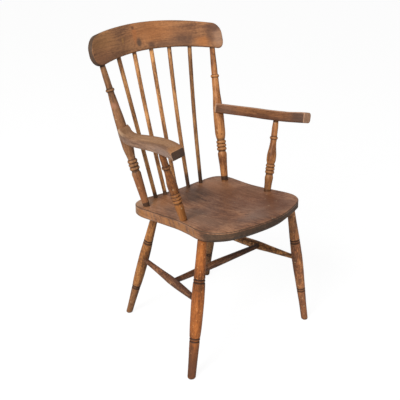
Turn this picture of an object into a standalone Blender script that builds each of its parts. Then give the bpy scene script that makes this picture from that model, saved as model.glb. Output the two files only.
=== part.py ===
"""Stick-back armchair in stained hardwood: a solid saddled seat on four turned legs with an H
stretcher, a back of two turned posts and five plain spindles under a bent crest rail, and two
sawn arms on turned supports. Blender 4.5, metres, +Z up. The sitter faces -Y, so the sitter's
right is -X. The feet stand on z = 0. Run it with blender --background --python part.py."""
import math

import bmesh
import bpy
from mathutils import Matrix, Vector

# Shared fits and mesh fineness
CLEAR = 0.0003          # gap left between two pieces that meet
SIDES = 18              # facets round a turned leg, post or arm support
SIDES_THIN = 12         # facets round a spindle, and round every socket
SURFACE_RUN = 0.005     # a tenon keeps its size this far outside the surface that it enters

# Seat: a sloping plank, its top plane given by the height at y = 0 and the fall to the back
SEAT_Z = 0.4284
SEAT_FALL = 0.108
SEAT_THICK = 0.032
SEAT_BACK_Y = 0.137
SEAT_FRONT_Y = -0.300
SEAT_HALF_BACK = 0.1845
SEAT_HALF_WAIST = 0.1820
SEAT_HALF_FRONT = 0.1925
SEAT_CHAMFER = 0.004    # slope worked along the underside edge
SEAT_CHAMFER_FRONT = 0.013
SEAT_DISH = 0.013       # depth of the hollow
SEAT_DISH_Y = -0.070    # where the hollow is deepest
SEAT_RIDGE = 0.006      # low ridge between the thighs

# Legs: foot on the floor, then the point where the axis passes LEG_REF_Z
LEG_REF_BELOW = 0.0234  # inside the seat's plank
LEG_REF_Z = SEAT_Z - LEG_REF_BELOW
FRONT_FOOT = (0.2426, -0.2297)
FRONT_REF = (0.1782, -0.2009)
REAR_FOOT = (0.1737, 0.1816)
REAR_REF = (0.1426, 0.0575)
REAR_LEFT_FOOT = (0.1935, 0.2065)   # the left rear foot stands further out and back
REAR_LEFT_REF = (0.1180, 0.0710)
LEG_GIRTH = ((1.07, 0.975), (0.95, 0.95))   # front right and left, then rear ones
LEG_FOOT_R = 0.0114
LEG_GROOVE_LOW = 0.1198
LEG_GROOVE_HIGH = 0.3028
LEG_LOW_R = 0.0142
LEG_BELLY = 0.238
LEG_BELLY_R = 0.0173
LEG_HIGH_R = 0.0157
LEG_TOP_R = 0.0118
LEG_TENON_R = 0.0102
LEG_TENON = 0.019       # depth of the leg's tenon in the seat
GROOVE_PITCH = 0.009    # two grooves make a pair
GROOVE_DEPTH = 0.0017
GROOVE_HALF = 0.0016

# Stretchers, placed by the height at which their axes cross the leg axes
SIDE_REAR_Z = 0.2232
SIDE_FRONT_Z = 0.2351
SIDE_END_R = 0.0074
SIDE_MID_R = 0.0128
CROSS_AT = (0.570, 0.584)   # where the cross meets the right and left side stretchers, from the rear
CROSS_END_R = 0.0080
CROSS_MID_R = 0.0116
STRETCHER_TENON = 0.009

# Back posts: the axis meets the seat top at POST_SEAT and leans out and back
POST_SEAT = (0.1621, 0.0798)
POST_LEAN = (0.1230, 0.3010)
POST_LEFT_DROP = 0.0165 # the left post's turning sits this much lower, as on the real chair
POST_GIRTH = (1.0, 1.06)  # the left post is a little stouter
POST_BASE_R = 0.0104
POST_TENON_R = 0.0088
POST_TENON = 0.018
POST_SHOULDER = 0.1090
POST_SHOULDER_R = 0.0141
POST_BEAD_PITCH = 0.0112
POST_BEAD_R = 0.0152
POST_BEAD_VALE_R = 0.0117
POST_NECK_R = 0.0120
POST_BULGE = 0.1885
POST_BULGE_R = 0.0164
POST_ARM = 0.2425
POST_ARM_R = 0.0160
POST_TAPER = 0.3005
POST_TAPER_R = 0.0131
POST_RING = 0.3642
POST_RING_R = 0.0130
POST_THIN_R = 0.0099
POST_TOP_R = 0.0081
POST_CREST_TENON_R = 0.0052

# Spindles from right to left: foot on the seat, x at the crest
SPINDLE_FEET = (
    (-0.0942, 0.1222), (-0.0560, 0.1220), (-0.0105, 0.1222), (0.0360, 0.1195), (0.0955, 0.1250))
SPINDLE_CREST_X = (-0.1379, -0.0682, 0.0, 0.0682, 0.1379)
SPINDLE_R = 0.0064
SPINDLE_FOOT_R = 0.0061
SPINDLE_TOP_R = 0.0065
SPINDLE_TENON_R = 0.0044
SPINDLE_TENON = 0.016
SPINDLE_BOW = (0.0020, 0.0035, 0.0035, 0.0040, 0.0040)   # how far each is bent back in its middle
SPINDLE_SWAY = (0.0020, 0.0, 0.0, -0.0018, -0.0008)      # and to the sitter's left

# Crest rail: a board bent to CREST_RADIUS and raked like the posts, a little lower on the left
CREST_RIGHT_END = -0.2570
CREST_LEFT_END = 0.2450
CREST_RADIUS = 0.525
CREST_MID_Y = 0.2515
CREST_RAKE = 0.300
BACK_RISE = 0.5016      # top of the crest above the seat's plane, which lengthens posts and spindles
CREST_TALL = 0.0812     # lower edge to top, where each is highest
CREST_REF_RISE = 0.4196
CREST_REF_Z = SEAT_Z + CREST_REF_RISE   # where the board's middle is at CREST_MID_Y
CREST_TOP_Z = SEAT_Z + BACK_RISE
CREST_LOW_Z = CREST_TOP_Z - CREST_TALL
CREST_LOW_PEAK_X = -0.012
CREST_LOW_BOW = 0.32      # fall of the lower edge per square metre of offset from its peak
CREST_TOP_PEAK_X = -0.045
CREST_TOP_BOW = 0.30
CREST_THICK = 0.0190
CREST_THICK_END = 0.0145
CREST_TOP_CORNERS = ((0.037, 0.037), (0.027, 0.031))   # right and left, width and height
CREST_LOW_CORNERS = ((0.050, 0.052), (0.014, 0.026))
CREST_EDGE = 0.0035
CREST_TENON = 0.022

# Arms: flat sawn boards, tilted so that the outer edge hangs low and the front end rises
ARM_ABOVE = 0.2997
ARM_Z = SEAT_Z + ARM_ABOVE
ARM_TILT = 0.25
ARM_RISE = 0.1269
ARM_THICK = 0.030
ARM_TIP_THICK = (0.0245, 0.0278)
ARM_TIP_RISE = (0.0010, 0.0035)  # the arms' tops lift a little at the front, the left one more
ARM_EDGE = 0.0035
ARM_EDGE_OUT = 0.0075     # the outer upper edge is rounded off much further
ARM_INNER = (
    (0.1740, 0.1410), (0.1850, 0.1150), (0.1990, 0.0860), (0.2085, 0.0550), (0.2110, 0.0230),
    (0.2080, -0.0130), (0.2065, -0.0470), (0.2070, -0.0800), (0.2105, -0.1140), (0.2180, -0.1480),
    (0.2250, -0.1700), (0.2320, -0.1880))
ARM_OUTER = (
    (0.2130, 0.1410), (0.2235, 0.1160), (0.2325, 0.0850), (0.2380, 0.0530), (0.2395, 0.0220),
    (0.2400, -0.0130), (0.2410, -0.0470), (0.2440, -0.0800), (0.2490, -0.1140), (0.2570, -0.1450),
    (0.2640, -0.1660), (0.2700, -0.1820))
ARM_DRAWN_AT = (0.1900, 0.1481)   # where the post's axis passes between these two outlines
ARM_POST_TENON_R = 0.0050
ARM_POST_TENON = 0.013

# Arm supports: seat point and lean
SUPPORT_SEAT = (0.1690, -0.1085)
SUPPORT_LEAN = (0.2614, 0.1309)
SUPPORT_RIGHT_RISE = 0.0055   # the right support's turning sits this much higher
SUPPORT_BASE_R = 0.0108
SUPPORT_TENON_R = 0.0082
SUPPORT_TENON = 0.017
SUPPORT_SHOULDER = 0.0455
SUPPORT_SHOULDER_R = 0.0127
SUPPORT_FIRST_BEAD = 0.0590
SUPPORT_BEAD_PITCH = 0.0100
SUPPORT_BEAD_R = 0.0142
SUPPORT_VALE_R = 0.0113
SUPPORT_NECK_R = 0.0117
SUPPORT_BULGE = 0.1010
SUPPORT_BULGE_R = 0.0146
SUPPORT_RING = 0.1660
SUPPORT_RING_R = 0.0124
SUPPORT_THIN_R = 0.0096
SUPPORT_TOP_R = 0.0087
SUPPORT_TOP_TENON_R = 0.0062
SUPPORT_TOP_TENON = 0.014

SIDE_NAMES = ((-1, "right"), (1, "left"))


def clear_scene():
    for obj in list(bpy.data.objects):
        bpy.data.objects.remove(obj, do_unlink=True)


def make_material(name, colour, roughness):
    mat = bpy.data.materials.new(name)
    mat.use_nodes = True
    shader = mat.node_tree.nodes["Principled BSDF"]
    shader.inputs["Base Color"].default_value = (*colour, 1.0)
    shader.inputs["Roughness"].default_value = roughness
    shader.inputs["Metallic"].default_value = 0.0
    mat.diffuse_color = (*colour, 1.0)
    return mat


def finish(name, bm, colour, roughness, sharp_deg=35.0, matrix=None):
    """Turn a bmesh into a smooth-shaded object with its own material."""
    bmesh.ops.remove_doubles(bm, verts=bm.verts, dist=1e-6)
    bmesh.ops.recalc_face_normals(bm, faces=bm.faces)
    mesh = bpy.data.meshes.new(name)
    bm.to_mesh(mesh)
    bm.free()
    mesh.polygons.foreach_set("use_smooth", [True] * len(mesh.polygons))
    mesh.set_sharp_from_angle(angle=math.radians(sharp_deg))
    obj = bpy.data.objects.new(name, mesh)
    bpy.context.scene.collection.objects.link(obj)
    mesh.materials.append(make_material(name + "_wood", colour, roughness))
    if matrix is not None:
        obj.matrix_world = matrix
    return obj


def axis_matrix(start, end):
    """Place local +Z along start to end, with the local origin on start."""
    direction = (end - start).normalized()
    matrix = direction.to_track_quat("Z", "Y").to_matrix().to_4x4()
    matrix.translation = start
    return matrix


def revolve(bm, profile, sides):
    """Spin (distance along the axis, radius) pairs into a closed turned solid."""
    points = [(profile[0][0], 0.0)] + list(profile) + [(profile[-1][0], 0.0)]
    verts = [bm.verts.new((radius, 0.0, along)) for along, radius in points]
    edges = [bm.edges.new(pair) for pair in zip(verts, verts[1:])]
    bmesh.ops.spin(bm, geom=verts + edges, cent=(0, 0, 0), axis=(0, 0, 1), angle=2 * math.pi,
                   steps=sides, use_merge=True, use_duplicate=False)
    bmesh.ops.remove_doubles(bm, verts=bm.verts, dist=1e-6)
    return bm


def add_cutter(target, bodies):
    """Cut round sockets from target; bodies are (start, end, radius) in world space."""
    bm = bmesh.new()
    for start, end, radius in bodies:
        length = (end - start).length
        part = bmesh.ops.create_cone(bm, cap_ends=True, segments=SIDES_THIN, radius1=radius,
                                     radius2=radius, depth=length)
        matrix = axis_matrix(start, end) @ Matrix.Translation((0, 0, length / 2))
        bmesh.ops.transform(bm, matrix=matrix, verts=part["verts"])
    mesh = bpy.data.meshes.new("cut_" + target.name)
    bm.to_mesh(mesh)
    bm.free()
    cutter = bpy.data.objects.new("cut_" + target.name, mesh)
    bpy.context.scene.collection.objects.link(cutter)
    cutter.hide_render = True
    cutter.display_type = "WIRE"
    mod = target.modifiers.new("sockets", "BOOLEAN")
    mod.operation = "DIFFERENCE"
    mod.solver = "EXACT"
    mod.object = cutter
    return cutter


def socket_radius(tenon_radius):
    """Circumscribed size, so the facets of the socket stay clear of the tenon."""
    return (tenon_radius + CLEAR) / math.cos(math.pi / SIDES_THIN)


def smooth_path(points, count, closed=False):
    """Catmull-Rom curve through 2-D points, sampled evenly in its parameter."""
    out = []
    total = len(points) if closed else len(points) - 1
    for i in range(count):
        t = total * i / (count if closed else count - 1)
        k = min(int(t), total - 1)
        f = t - k
        if closed:
            quad = [points[(k + j) % len(points)] for j in (-1, 0, 1, 2)]
        else:
            quad = [points[min(max(k + j, 0), len(points) - 1)] for j in (-1, 0, 1, 2)]
        a, b, c, d = (Vector(p) for p in quad)
        out.append(0.5 * (2 * b + (c - a) * f + (2 * a - 5 * b + 4 * c - d) * f * f
                          + (3 * b - a - 3 * c + d) * f ** 3))
    return out


# Reference lines and surfaces that several pieces share

def seat_top_z(y):
    return SEAT_Z - SEAT_FALL * y


def seat_low_z(y):
    return seat_top_z(y) - SEAT_THICK * math.hypot(1.0, SEAT_FALL)


def ease(value, low, high):
    t = min(max((value - low) / (high - low), 0.0), 1.0)
    return t * t * (3 - 2 * t)


def seat_outline(count):
    """Plan of the seat: hollow back edge, waisted sides and a bowed front. The left front corner
    is cut back further than the right one, and the left back corner is fuller."""
    right = (
        (0.0, SEAT_BACK_Y), (-0.072, SEAT_BACK_Y + 0.006), (-0.128, SEAT_BACK_Y + 0.010),
        (-0.161, SEAT_BACK_Y - 0.002), (-0.179, SEAT_BACK_Y - 0.028), (-SEAT_HALF_BACK, 0.075),
        (-SEAT_HALF_WAIST - 0.001, 0.020), (-SEAT_HALF_WAIST, -0.035),
        (-SEAT_HALF_WAIST + 0.001, -0.090), (-SEAT_HALF_WAIST - 0.004, -0.145),
        (-SEAT_HALF_FRONT, -0.190), (-SEAT_HALF_FRONT + 0.003, -0.229),
        (-0.174, SEAT_FRONT_Y + 0.040), (-0.146, SEAT_FRONT_Y + 0.019),
        (-0.098, SEAT_FRONT_Y + 0.006), (-0.045, SEAT_FRONT_Y))
    left = (
        (0.0, SEAT_FRONT_Y), (0.048, SEAT_FRONT_Y + 0.007), (0.095, SEAT_FRONT_Y + 0.022),
        (0.137, SEAT_FRONT_Y + 0.041), (0.170, SEAT_FRONT_Y + 0.063), (0.189, -0.206),
        (SEAT_HALF_FRONT + 0.002, -0.168), (SEAT_HALF_WAIST + 0.008, -0.115),
        (SEAT_HALF_WAIST + 0.003, -0.060), (SEAT_HALF_WAIST + 0.003, -0.015),
        (SEAT_HALF_WAIST + 0.008, 0.035), (SEAT_HALF_BACK + 0.011, 0.080),
        (SEAT_HALF_BACK + 0.011, 0.109), (0.184, SEAT_BACK_Y - 0.002),
        (0.158, SEAT_BACK_Y + 0.011), (0.110, SEAT_BACK_Y + 0.010), (0.050, SEAT_BACK_Y + 0.003))
    return smooth_path(right + left, count, closed=True)


def seat_dish(x, y, share):
    """Depth of the saddled hollow; share is 1 on the rim and 0 in the middle."""
    hollow = SEAT_DISH * (1 - ease(share, 0.30, 0.93))
    ridge = SEAT_RIDGE * math.exp(-(x / 0.035) ** 2) * ease(-y, 0.09, 0.23)
    return max(hollow - ridge * (1 - ease(share, 0.80, 1.0)), 0.0)


def seat_surface_z(x, y):
    """Height of the worked seat top under a point, for the sockets."""
    rim = seat_outline(180)
    centre = Vector((0.0, SEAT_DISH_Y))
    ray = Vector((x, y)) - centre
    angle = math.atan2(ray.y, ray.x)
    near = min(rim, key=lambda p: abs(math.remainder(
        math.atan2(p.y - centre.y, p.x - centre.x) - angle, 2 * math.pi)))
    return seat_top_z(y) - seat_dish(x, y, ray.length / (near - centre).length)


def leg_line(side, rear):
    foot = REAR_FOOT if rear else FRONT_FOOT
    ref = REAR_REF if rear else FRONT_REF
    if rear and side > 0:
        foot, ref = REAR_LEFT_FOOT, REAR_LEFT_REF
    return Vector((side * foot[0], foot[1], 0.0)), Vector((side * ref[0], ref[1], LEG_REF_Z))


def at_height(line, z):
    start, end = line
    return start + (end - start) * ((z - start.z) / (end.z - start.z))


def meet_plane(line, height):
    """Where a line crosses the surface z = height(y)."""
    point = line[0]
    for _ in range(20):
        point = at_height(line, height(point.y))
    return point


def stretcher_line(side):
    return (at_height(leg_line(side, True), SIDE_REAR_Z),
            at_height(leg_line(side, False), SIDE_FRONT_Z))


def cross_point(side):
    rear, front = stretcher_line(side)
    return rear.lerp(front, CROSS_AT[side > 0])


def post_line(side):
    start = Vector((side * POST_SEAT[0], POST_SEAT[1], 0.0))
    start.z = seat_surface_z(start.x, start.y)
    lean = Vector((side * POST_LEAN[0], POST_LEAN[1], 1.0))
    return start, start + lean * 0.5


def support_line(side):
    start = Vector((side * SUPPORT_SEAT[0], SUPPORT_SEAT[1], 0.0))
    start.z = seat_surface_z(start.x, start.y)
    lean = Vector((side * SUPPORT_LEAN[0], SUPPORT_LEAN[1], 1.0))
    return start, start + lean * 0.3


def crest_low_z(x):
    return CREST_LOW_Z - CREST_LOW_BOW * (x - CREST_LOW_PEAK_X) ** 2


def crest_top_z(x):
    return CREST_TOP_Z - CREST_TOP_BOW * (x - CREST_TOP_PEAK_X) ** 2


def crest_mid(x, z):
    """Middle of the crest's thickness at a height."""
    bend = CREST_RADIUS - math.sqrt(CREST_RADIUS ** 2 - x * x)
    return Vector((x, CREST_MID_Y - bend + CREST_RAKE * (z - CREST_REF_Z), z))


def meet_crest(start, direction):
    """Where a line from the seat comes to the crest's lower edge."""
    point = start.copy()
    for _ in range(20):
        point = start + direction * ((crest_low_z(point.x) - start.z) / direction.z)
    return point


def spindle_line(index):
    foot = SPINDLE_FEET[index]
    x = SPINDLE_CREST_X[index]
    return (Vector((foot[0], foot[1], seat_surface_z(*foot))), crest_mid(x, crest_low_z(x)))


def arm_top_z(x, y):
    return ARM_Z - ARM_TILT * abs(x) - ARM_RISE * y


def arm_normal(side):
    return Vector((side * ARM_TILT, ARM_RISE, 1.0)).normalized()


def meet_arm(line, side, depth):
    """Where a line crosses the plane that lies depth below the arm's top."""
    normal = arm_normal(side)
    origin = Vector((0.0, 0.0, ARM_Z)) - normal * depth
    start, end = line
    run = end - start
    return start + run * ((origin - start).dot(normal) / run.dot(normal))


# Pieces

def build_seat():
    count = 60
    rim = seat_outline(count)
    centre = Vector((0.0, SEAT_DISH_Y))
    shares = (1.0, 0.985, 0.93, 0.85, 0.74, 0.60, 0.44, 0.28, 0.13)
    drops = (0.0035,) + (0.0,) * (len(shares) - 1)
    bm = bmesh.new()

    def ring(share, height, inset=None):
        row = []
        for point in rim:
            p = centre + (point - centre) * share
            if inset is not None:
                p = p + (centre - p).normalized() * inset(p.y)
            row.append(bm.verts.new((p.x, p.y, height(p.x, p.y))))
        return row

    def chamfer(y):
        return SEAT_CHAMFER + (SEAT_CHAMFER_FRONT - SEAT_CHAMFER) * ease(-y, 0.22, 0.275)

    rows = [ring(share, lambda x, y, s=share, d=drop: seat_top_z(y) - d - seat_dish(x, y, s))
            for share, drop in zip(shares, drops)]
    low_edge = ring(1.0, lambda x, y: seat_low_z(y) + chamfer(y))
    base = ring(1.0, lambda x, y: seat_low_z(y), chamfer)
    middle = bm.verts.new((centre.x, centre.y, seat_top_z(centre.y) - SEAT_DISH))
    for upper, lower in [(rows[0], low_edge), (low_edge, base)] + list(zip(rows[1:], rows)):
        for i in range(count):
            j = (i + 1) % count
            bm.faces.new((upper[i], upper[j], lower[j], lower[i]))
    for i in range(count):
        bm.faces.new((rows[-1][i], rows[-1][(i + 1) % count], middle))
    bm.faces.new(base)
    seat = finish("seat", bm, (0.125, 0.052, 0.026), 0.42, sharp_deg=28.0)

    holes = []
    for side, _ in SIDE_NAMES:
        for rear in (True, False):
            line = leg_line(side, rear)
            entry = meet_plane(line, seat_low_z)
            run = (line[1] - line[0]).normalized()
            holes.append((entry - run * 0.010, entry + run * (LEG_TENON + CLEAR),
                          socket_radius(LEG_TENON_R)))
        for line, radius, depth in (
                (post_line(side), POST_TENON_R, POST_TENON),
                (support_line(side), SUPPORT_TENON_R, SUPPORT_TENON)):
            run = (line[1] - line[0]).normalized()
            holes.append((line[0] + run * 0.012, line[0] - run * (depth + CLEAR),
                          socket_radius(radius)))
    for index in range(5):
        start, end = spindle_line(index)
        run = (end - start).normalized()
        holes.append((start + run * 0.012, start - run * (SPINDLE_TENON + CLEAR),
                      socket_radius(SPINDLE_TENON_R)))
    add_cutter(seat, holes)
    return seat


def groove_pair(centre, radius_at):
    """Profile points for two V grooves side by side."""
    points = []
    for mid in (centre - GROOVE_PITCH / 2, centre + GROOVE_PITCH / 2):
        for step, cut in ((-GROOVE_HALF, 0.0), (0.0, GROOVE_DEPTH), (GROOVE_HALF, 0.0)):
            points.append((mid + step, radius_at(mid) - cut))
    return points


def leg_radius(along, length, side, rear):
    """Swelling outline of a leg without its grooves."""
    girth = LEG_GIRTH[rear][side > 0]
    knots = ((0.0, LEG_FOOT_R), (LEG_GROOVE_LOW, LEG_LOW_R), (LEG_BELLY, LEG_BELLY_R),
             (LEG_GROOVE_HIGH, LEG_HIGH_R), (length, LEG_TOP_R))
    for (s0, r0), (s1, r1) in zip(knots, knots[1:]):
        if along <= s1:
            f = (along - s0) / (s1 - s0)
            if s1 == LEG_BELLY:
                f = math.sin(f * math.pi / 2)
            elif s0 == LEG_BELLY:
                f = 1 - math.cos(f * math.pi / 2)
            return girth * (r0 + (r1 - r0) * f)
    return girth * LEG_TOP_R


def build_leg(side, label, rear):
    line = leg_line(side, rear)
    entry = meet_plane(line, seat_low_z)
    run = (line[1] - line[0]).normalized()
    start = line[0] - run * 0.010
    shank = (entry - line[0]).length - SURFACE_RUN

    def radius(along):
        return leg_radius(along, shank, side, rear)

    profile = [(-0.010, radius(0.0)), (0.030, radius(0.030)), (0.075, radius(0.075))]
    profile += groove_pair(LEG_GROOVE_LOW, radius)
    profile += [(s, radius(s)) for s in (0.155, 0.195, LEG_BELLY, 0.270)]
    profile += groove_pair(LEG_GROOVE_HIGH, radius)
    profile += [(s, radius(s)) for s in (0.335, shank - 0.012)]
    profile += [(shank, LEG_TENON_R), (shank + SURFACE_RUN + LEG_TENON, LEG_TENON_R)]
    bm = revolve(bmesh.new(), [(s + 0.010, r) for s, r in profile], SIDES)
    matrix = axis_matrix(start, entry)
    # the foot is sawn level with the floor
    local = matrix.inverted()
    floor_point = local @ Vector((line[0].x, line[0].y, 0.0))
    floor_up = (local.to_3x3() @ Vector((0, 0, 1))).normalized()
    cut = bmesh.ops.bisect_plane(bm, geom=bm.verts[:] + bm.edges[:] + bm.faces[:],
                                 plane_co=floor_point, plane_no=floor_up, clear_inner=True)
    rim = [g for g in cut["geom_cut"] if isinstance(g, bmesh.types.BMEdge)]
    bmesh.ops.holes_fill(bm, edges=rim, sides=0)
    place = "rear" if rear else "front"
    colour = (0.170, 0.070, 0.026) if rear else (0.215, 0.088, 0.030)
    leg = finish("leg_%s_%s" % (place, label), bm, colour, 0.40, matrix=matrix)
    ends = stretcher_line(side)
    here, there = (ends[0], ends[1]) if rear else (ends[1], ends[0])
    away = (there - here).normalized()
    add_cutter(leg, [(here + away * 0.03, tenon_tip(here, away, side, rear) - away * CLEAR,
                      socket_radius(SIDE_END_R))])
    return leg


def tenon_tip(here, away, side, rear):
    """Inner end of a side stretcher's tenon inside the leg."""
    line = leg_line(side, rear)
    along = (here - line[0]).length
    return here + away * (leg_radius(along, 0.42, side, rear) - STRETCHER_TENON)


def swell(length, end_r, mid_r, tenon, count=9):
    """Profile of a stretcher that swells towards its middle between two straight tenons."""
    profile = [(0.0, end_r), (tenon, end_r)]
    for i in range(1, count):
        f = i / count
        profile.append((tenon + (length - 2 * tenon) * f,
                        end_r + (mid_r - end_r) * math.sin(math.pi * f) ** 1.3))
    return profile + [(length - tenon, end_r), (length, end_r)]


def build_side_stretcher(side, label):
    rear, front = stretcher_line(side)
    run = (front - rear).normalized()
    start = tenon_tip(rear, run, side, True)
    end = tenon_tip(front, -run, side, False)
    profile = swell((end - start).length, SIDE_END_R, SIDE_MID_R, STRETCHER_TENON + SURFACE_RUN)
    bm = revolve(bmesh.new(), profile, SIDES_THIN)
    obj = finish("stretcher_" + label, bm, (0.110, 0.050, 0.026), 0.45,
                 matrix=axis_matrix(start, end))
    here, there = cross_point(side), cross_point(-side)
    away = (there - here).normalized()
    add_cutter(obj, [(here + away * 0.02, here + away * (cross_inset() - CLEAR),
                      socket_radius(CROSS_END_R))])
    return obj


def cross_inset():
    return SIDE_MID_R - STRETCHER_TENON


def build_cross_stretcher():
    here, there = cross_point(-1), cross_point(1)
    run = (there - here).normalized()
    start = here + run * cross_inset()
    end = there - run * cross_inset()
    profile = swell((end - start).length, CROSS_END_R, CROSS_MID_R,
                    STRETCHER_TENON + SURFACE_RUN)
    bm = revolve(bmesh.new(), profile, SIDES_THIN)
    return finish("stretcher_cross", bm, (0.110, 0.050, 0.026), 0.45,
                  matrix=axis_matrix(start, end))


def bead(centre, radius, half, vale):
    """Rounded turned bead between two valleys."""
    return [(centre - half, vale), (centre - half * 0.55, radius - 0.0011), (centre, radius),
            (centre + half * 0.55, radius - 0.0011), (centre + half, vale)]


def build_post(side, label):
    start, ahead = post_line(side)
    run = (ahead - start).normalized()
    crest = meet_crest(start, run)
    length = (crest - start).length
    drop = POST_LEFT_DROP if side > 0 else 0.0
    shoulder = POST_SHOULDER - drop
    profile = [(SURFACE_RUN + 0.006, POST_BASE_R),
               (shoulder * 0.55, (POST_BASE_R + POST_SHOULDER_R) / 2 + 0.0006),
                (shoulder - 0.004, POST_SHOULDER_R), (shoulder, POST_SHOULDER_R - 0.0008)]
    first = shoulder + 0.0132
    for i in range(3):
        points = bead(first + i * POST_BEAD_PITCH, POST_BEAD_R, POST_BEAD_PITCH / 2,
                      POST_BEAD_VALE_R)
        profile += points if i == 0 else points[1:]
    profile += [
        (POST_BULGE - drop - 0.024, POST_NECK_R + 0.0012), (POST_BULGE - drop, POST_BULGE_R),
        (POST_ARM - drop - 0.022, POST_BULGE_R), (POST_ARM - drop + 0.010, POST_ARM_R - 0.0010),
        (POST_TAPER - drop, POST_TAPER_R), (POST_RING - drop - 0.010, POST_THIN_R)]
    profile += bead(POST_RING - drop, POST_RING_R, 0.0046, POST_THIN_R - 0.0002)
    profile += [
        (length - 0.022, POST_TOP_R + 0.0006), (length - SURFACE_RUN - 0.003, POST_TOP_R)]
    profile = [(s, r * POST_GIRTH[side > 0]) for s, r in profile]
    profile = ([(-POST_TENON, POST_TENON_R), (SURFACE_RUN, POST_TENON_R)] + profile
               + [(length - SURFACE_RUN, POST_CREST_TENON_R),
                  (length + CREST_TENON, POST_CREST_TENON_R)])
    bm = revolve(bmesh.new(), [(s + POST_TENON, r) for s, r in profile], SIDES)
    matrix = axis_matrix(start - run * POST_TENON, crest)
    post = finish("back_post_" + label, bm, (0.175, 0.072, 0.027), 0.42, matrix=matrix)
    tip, base = arm_tenon(side)
    back = (tip - base).normalized()
    add_cutter(post, [(base - back * 0.02, tip + back * CLEAR, socket_radius(ARM_POST_TENON_R))])
    return post


def arm_tenon(side):
    """Round tenon on the arm's back end: its tip inside the post, and a point inside the arm."""
    hit = meet_arm(post_line(side), side, ARM_THICK / 2)
    along = Vector((0.0, 1.0, -ARM_RISE)).normalized()
    tip = hit + along * (ARM_POST_TENON - POST_ARM_R)
    return tip, hit - along * (POST_ARM_R + 0.012)


def build_spindle(index):
    start, end = spindle_line(index)
    run = (end - start).normalized()
    length = (end - start).length
    tip = SPINDLE_TENON
    profile = [(-tip, SPINDLE_TENON_R), (SURFACE_RUN, SPINDLE_TENON_R),
               (SURFACE_RUN + 0.005, SPINDLE_FOOT_R), (length * 0.22, SPINDLE_R),
               (length * 0.40, SPINDLE_R), (length * 0.60, SPINDLE_R),
               (length * 0.80, SPINDLE_R), (length - SURFACE_RUN - 0.006, SPINDLE_TOP_R),
               (length - SURFACE_RUN, SPINDLE_TENON_R), (length + tip, SPINDLE_TENON_R)]
    bm = revolve(bmesh.new(), [(s + tip, r) for s, r in profile], SIDES_THIN)
    matrix = axis_matrix(start - run * tip, end)
    bend = matrix.inverted().to_3x3() @ Vector((SPINDLE_SWAY[index], SPINDLE_BOW[index], 0.0))
    for vert in bm.verts:
        share = (vert.co.z - tip - SURFACE_RUN) / (length - 2 * SURFACE_RUN)
        vert.co += bend * math.sin(math.pi * min(max(share, 0.0), 1.0))
    return finish("spindle_%d" % (index + 1), bm, (0.165, 0.068, 0.025), 0.42, matrix=matrix)


def build_crest():
    steps = (0.0, 0.12, 0.24, 0.36, 0.48, 0.59, 0.69, 0.78, 0.85, 0.90, 0.94, 0.97, 0.99, 1.0)
    xs = [CREST_RIGHT_END * f for f in reversed(steps[1:])] + [CREST_LEFT_END * f for f in steps]
    bm = bmesh.new()
    rows = []
    for x in xs:
        end = CREST_LEFT_END if x > 0 else CREST_RIGHT_END
        near = abs(end) - abs(x)
        top = crest_top_z(x) - corner_drop(near, CREST_TOP_CORNERS[x > 0])
        low = crest_low_z(x) + corner_drop(near, CREST_LOW_CORNERS[x > 0])
        share = (x / end) ** 2
        half = 0.5 * (CREST_THICK + (CREST_THICK_END - CREST_THICK) * share)
        slope = x / math.sqrt(CREST_RADIUS ** 2 - x * x)
        outward = Vector((slope, 1.0, -CREST_RAKE)).normalized()
        edge = min(CREST_EDGE, half * 0.6)
        row = []
        for height, offset in ((low, -half + edge), (low, half - edge), (low + edge, half),
                               (top - edge * 1.6, half), (top, half - edge * 1.6),
                               (top, -half + edge), (top - edge, -half), (low + edge, -half)):
            row.append(bm.verts.new(crest_mid(x, height) + outward * offset))
        rows.append(row)
    for a, b in zip(rows, rows[1:]):
        for i in range(8):
            j = (i + 1) % 8
            bm.faces.new((a[i], a[j], b[j], b[i]))
    bm.faces.new(rows[0])
    bm.faces.new(rows[-1])
    crest = finish("crest_rail", bm, (0.150, 0.066, 0.030), 0.40, sharp_deg=32.0)
    holes = []
    for side, _ in SIDE_NAMES:
        start, ahead = post_line(side)
        run = (ahead - start).normalized()
        end = meet_crest(start, run)
        holes.append((end - run * 0.012, end + run * (CREST_TENON + CLEAR),
                      socket_radius(POST_CREST_TENON_R)))
    for index in range(5):
        start, end = spindle_line(index)
        run = (end - start).normalized()
        holes.append((end - run * 0.012, end + run * (SPINDLE_TENON + CLEAR),
                      socket_radius(SPINDLE_TENON_R)))
    add_cutter(crest, holes)
    return crest


def corner_drop(near, corner):
    """How far a rounded corner has fallen away at a distance from the end."""
    width, height = corner
    if near >= width:
        return 0.0
    rest = (width - near) / width
    return height * (1 - math.sqrt(max(1 - rest * rest, 0.0)))


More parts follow.
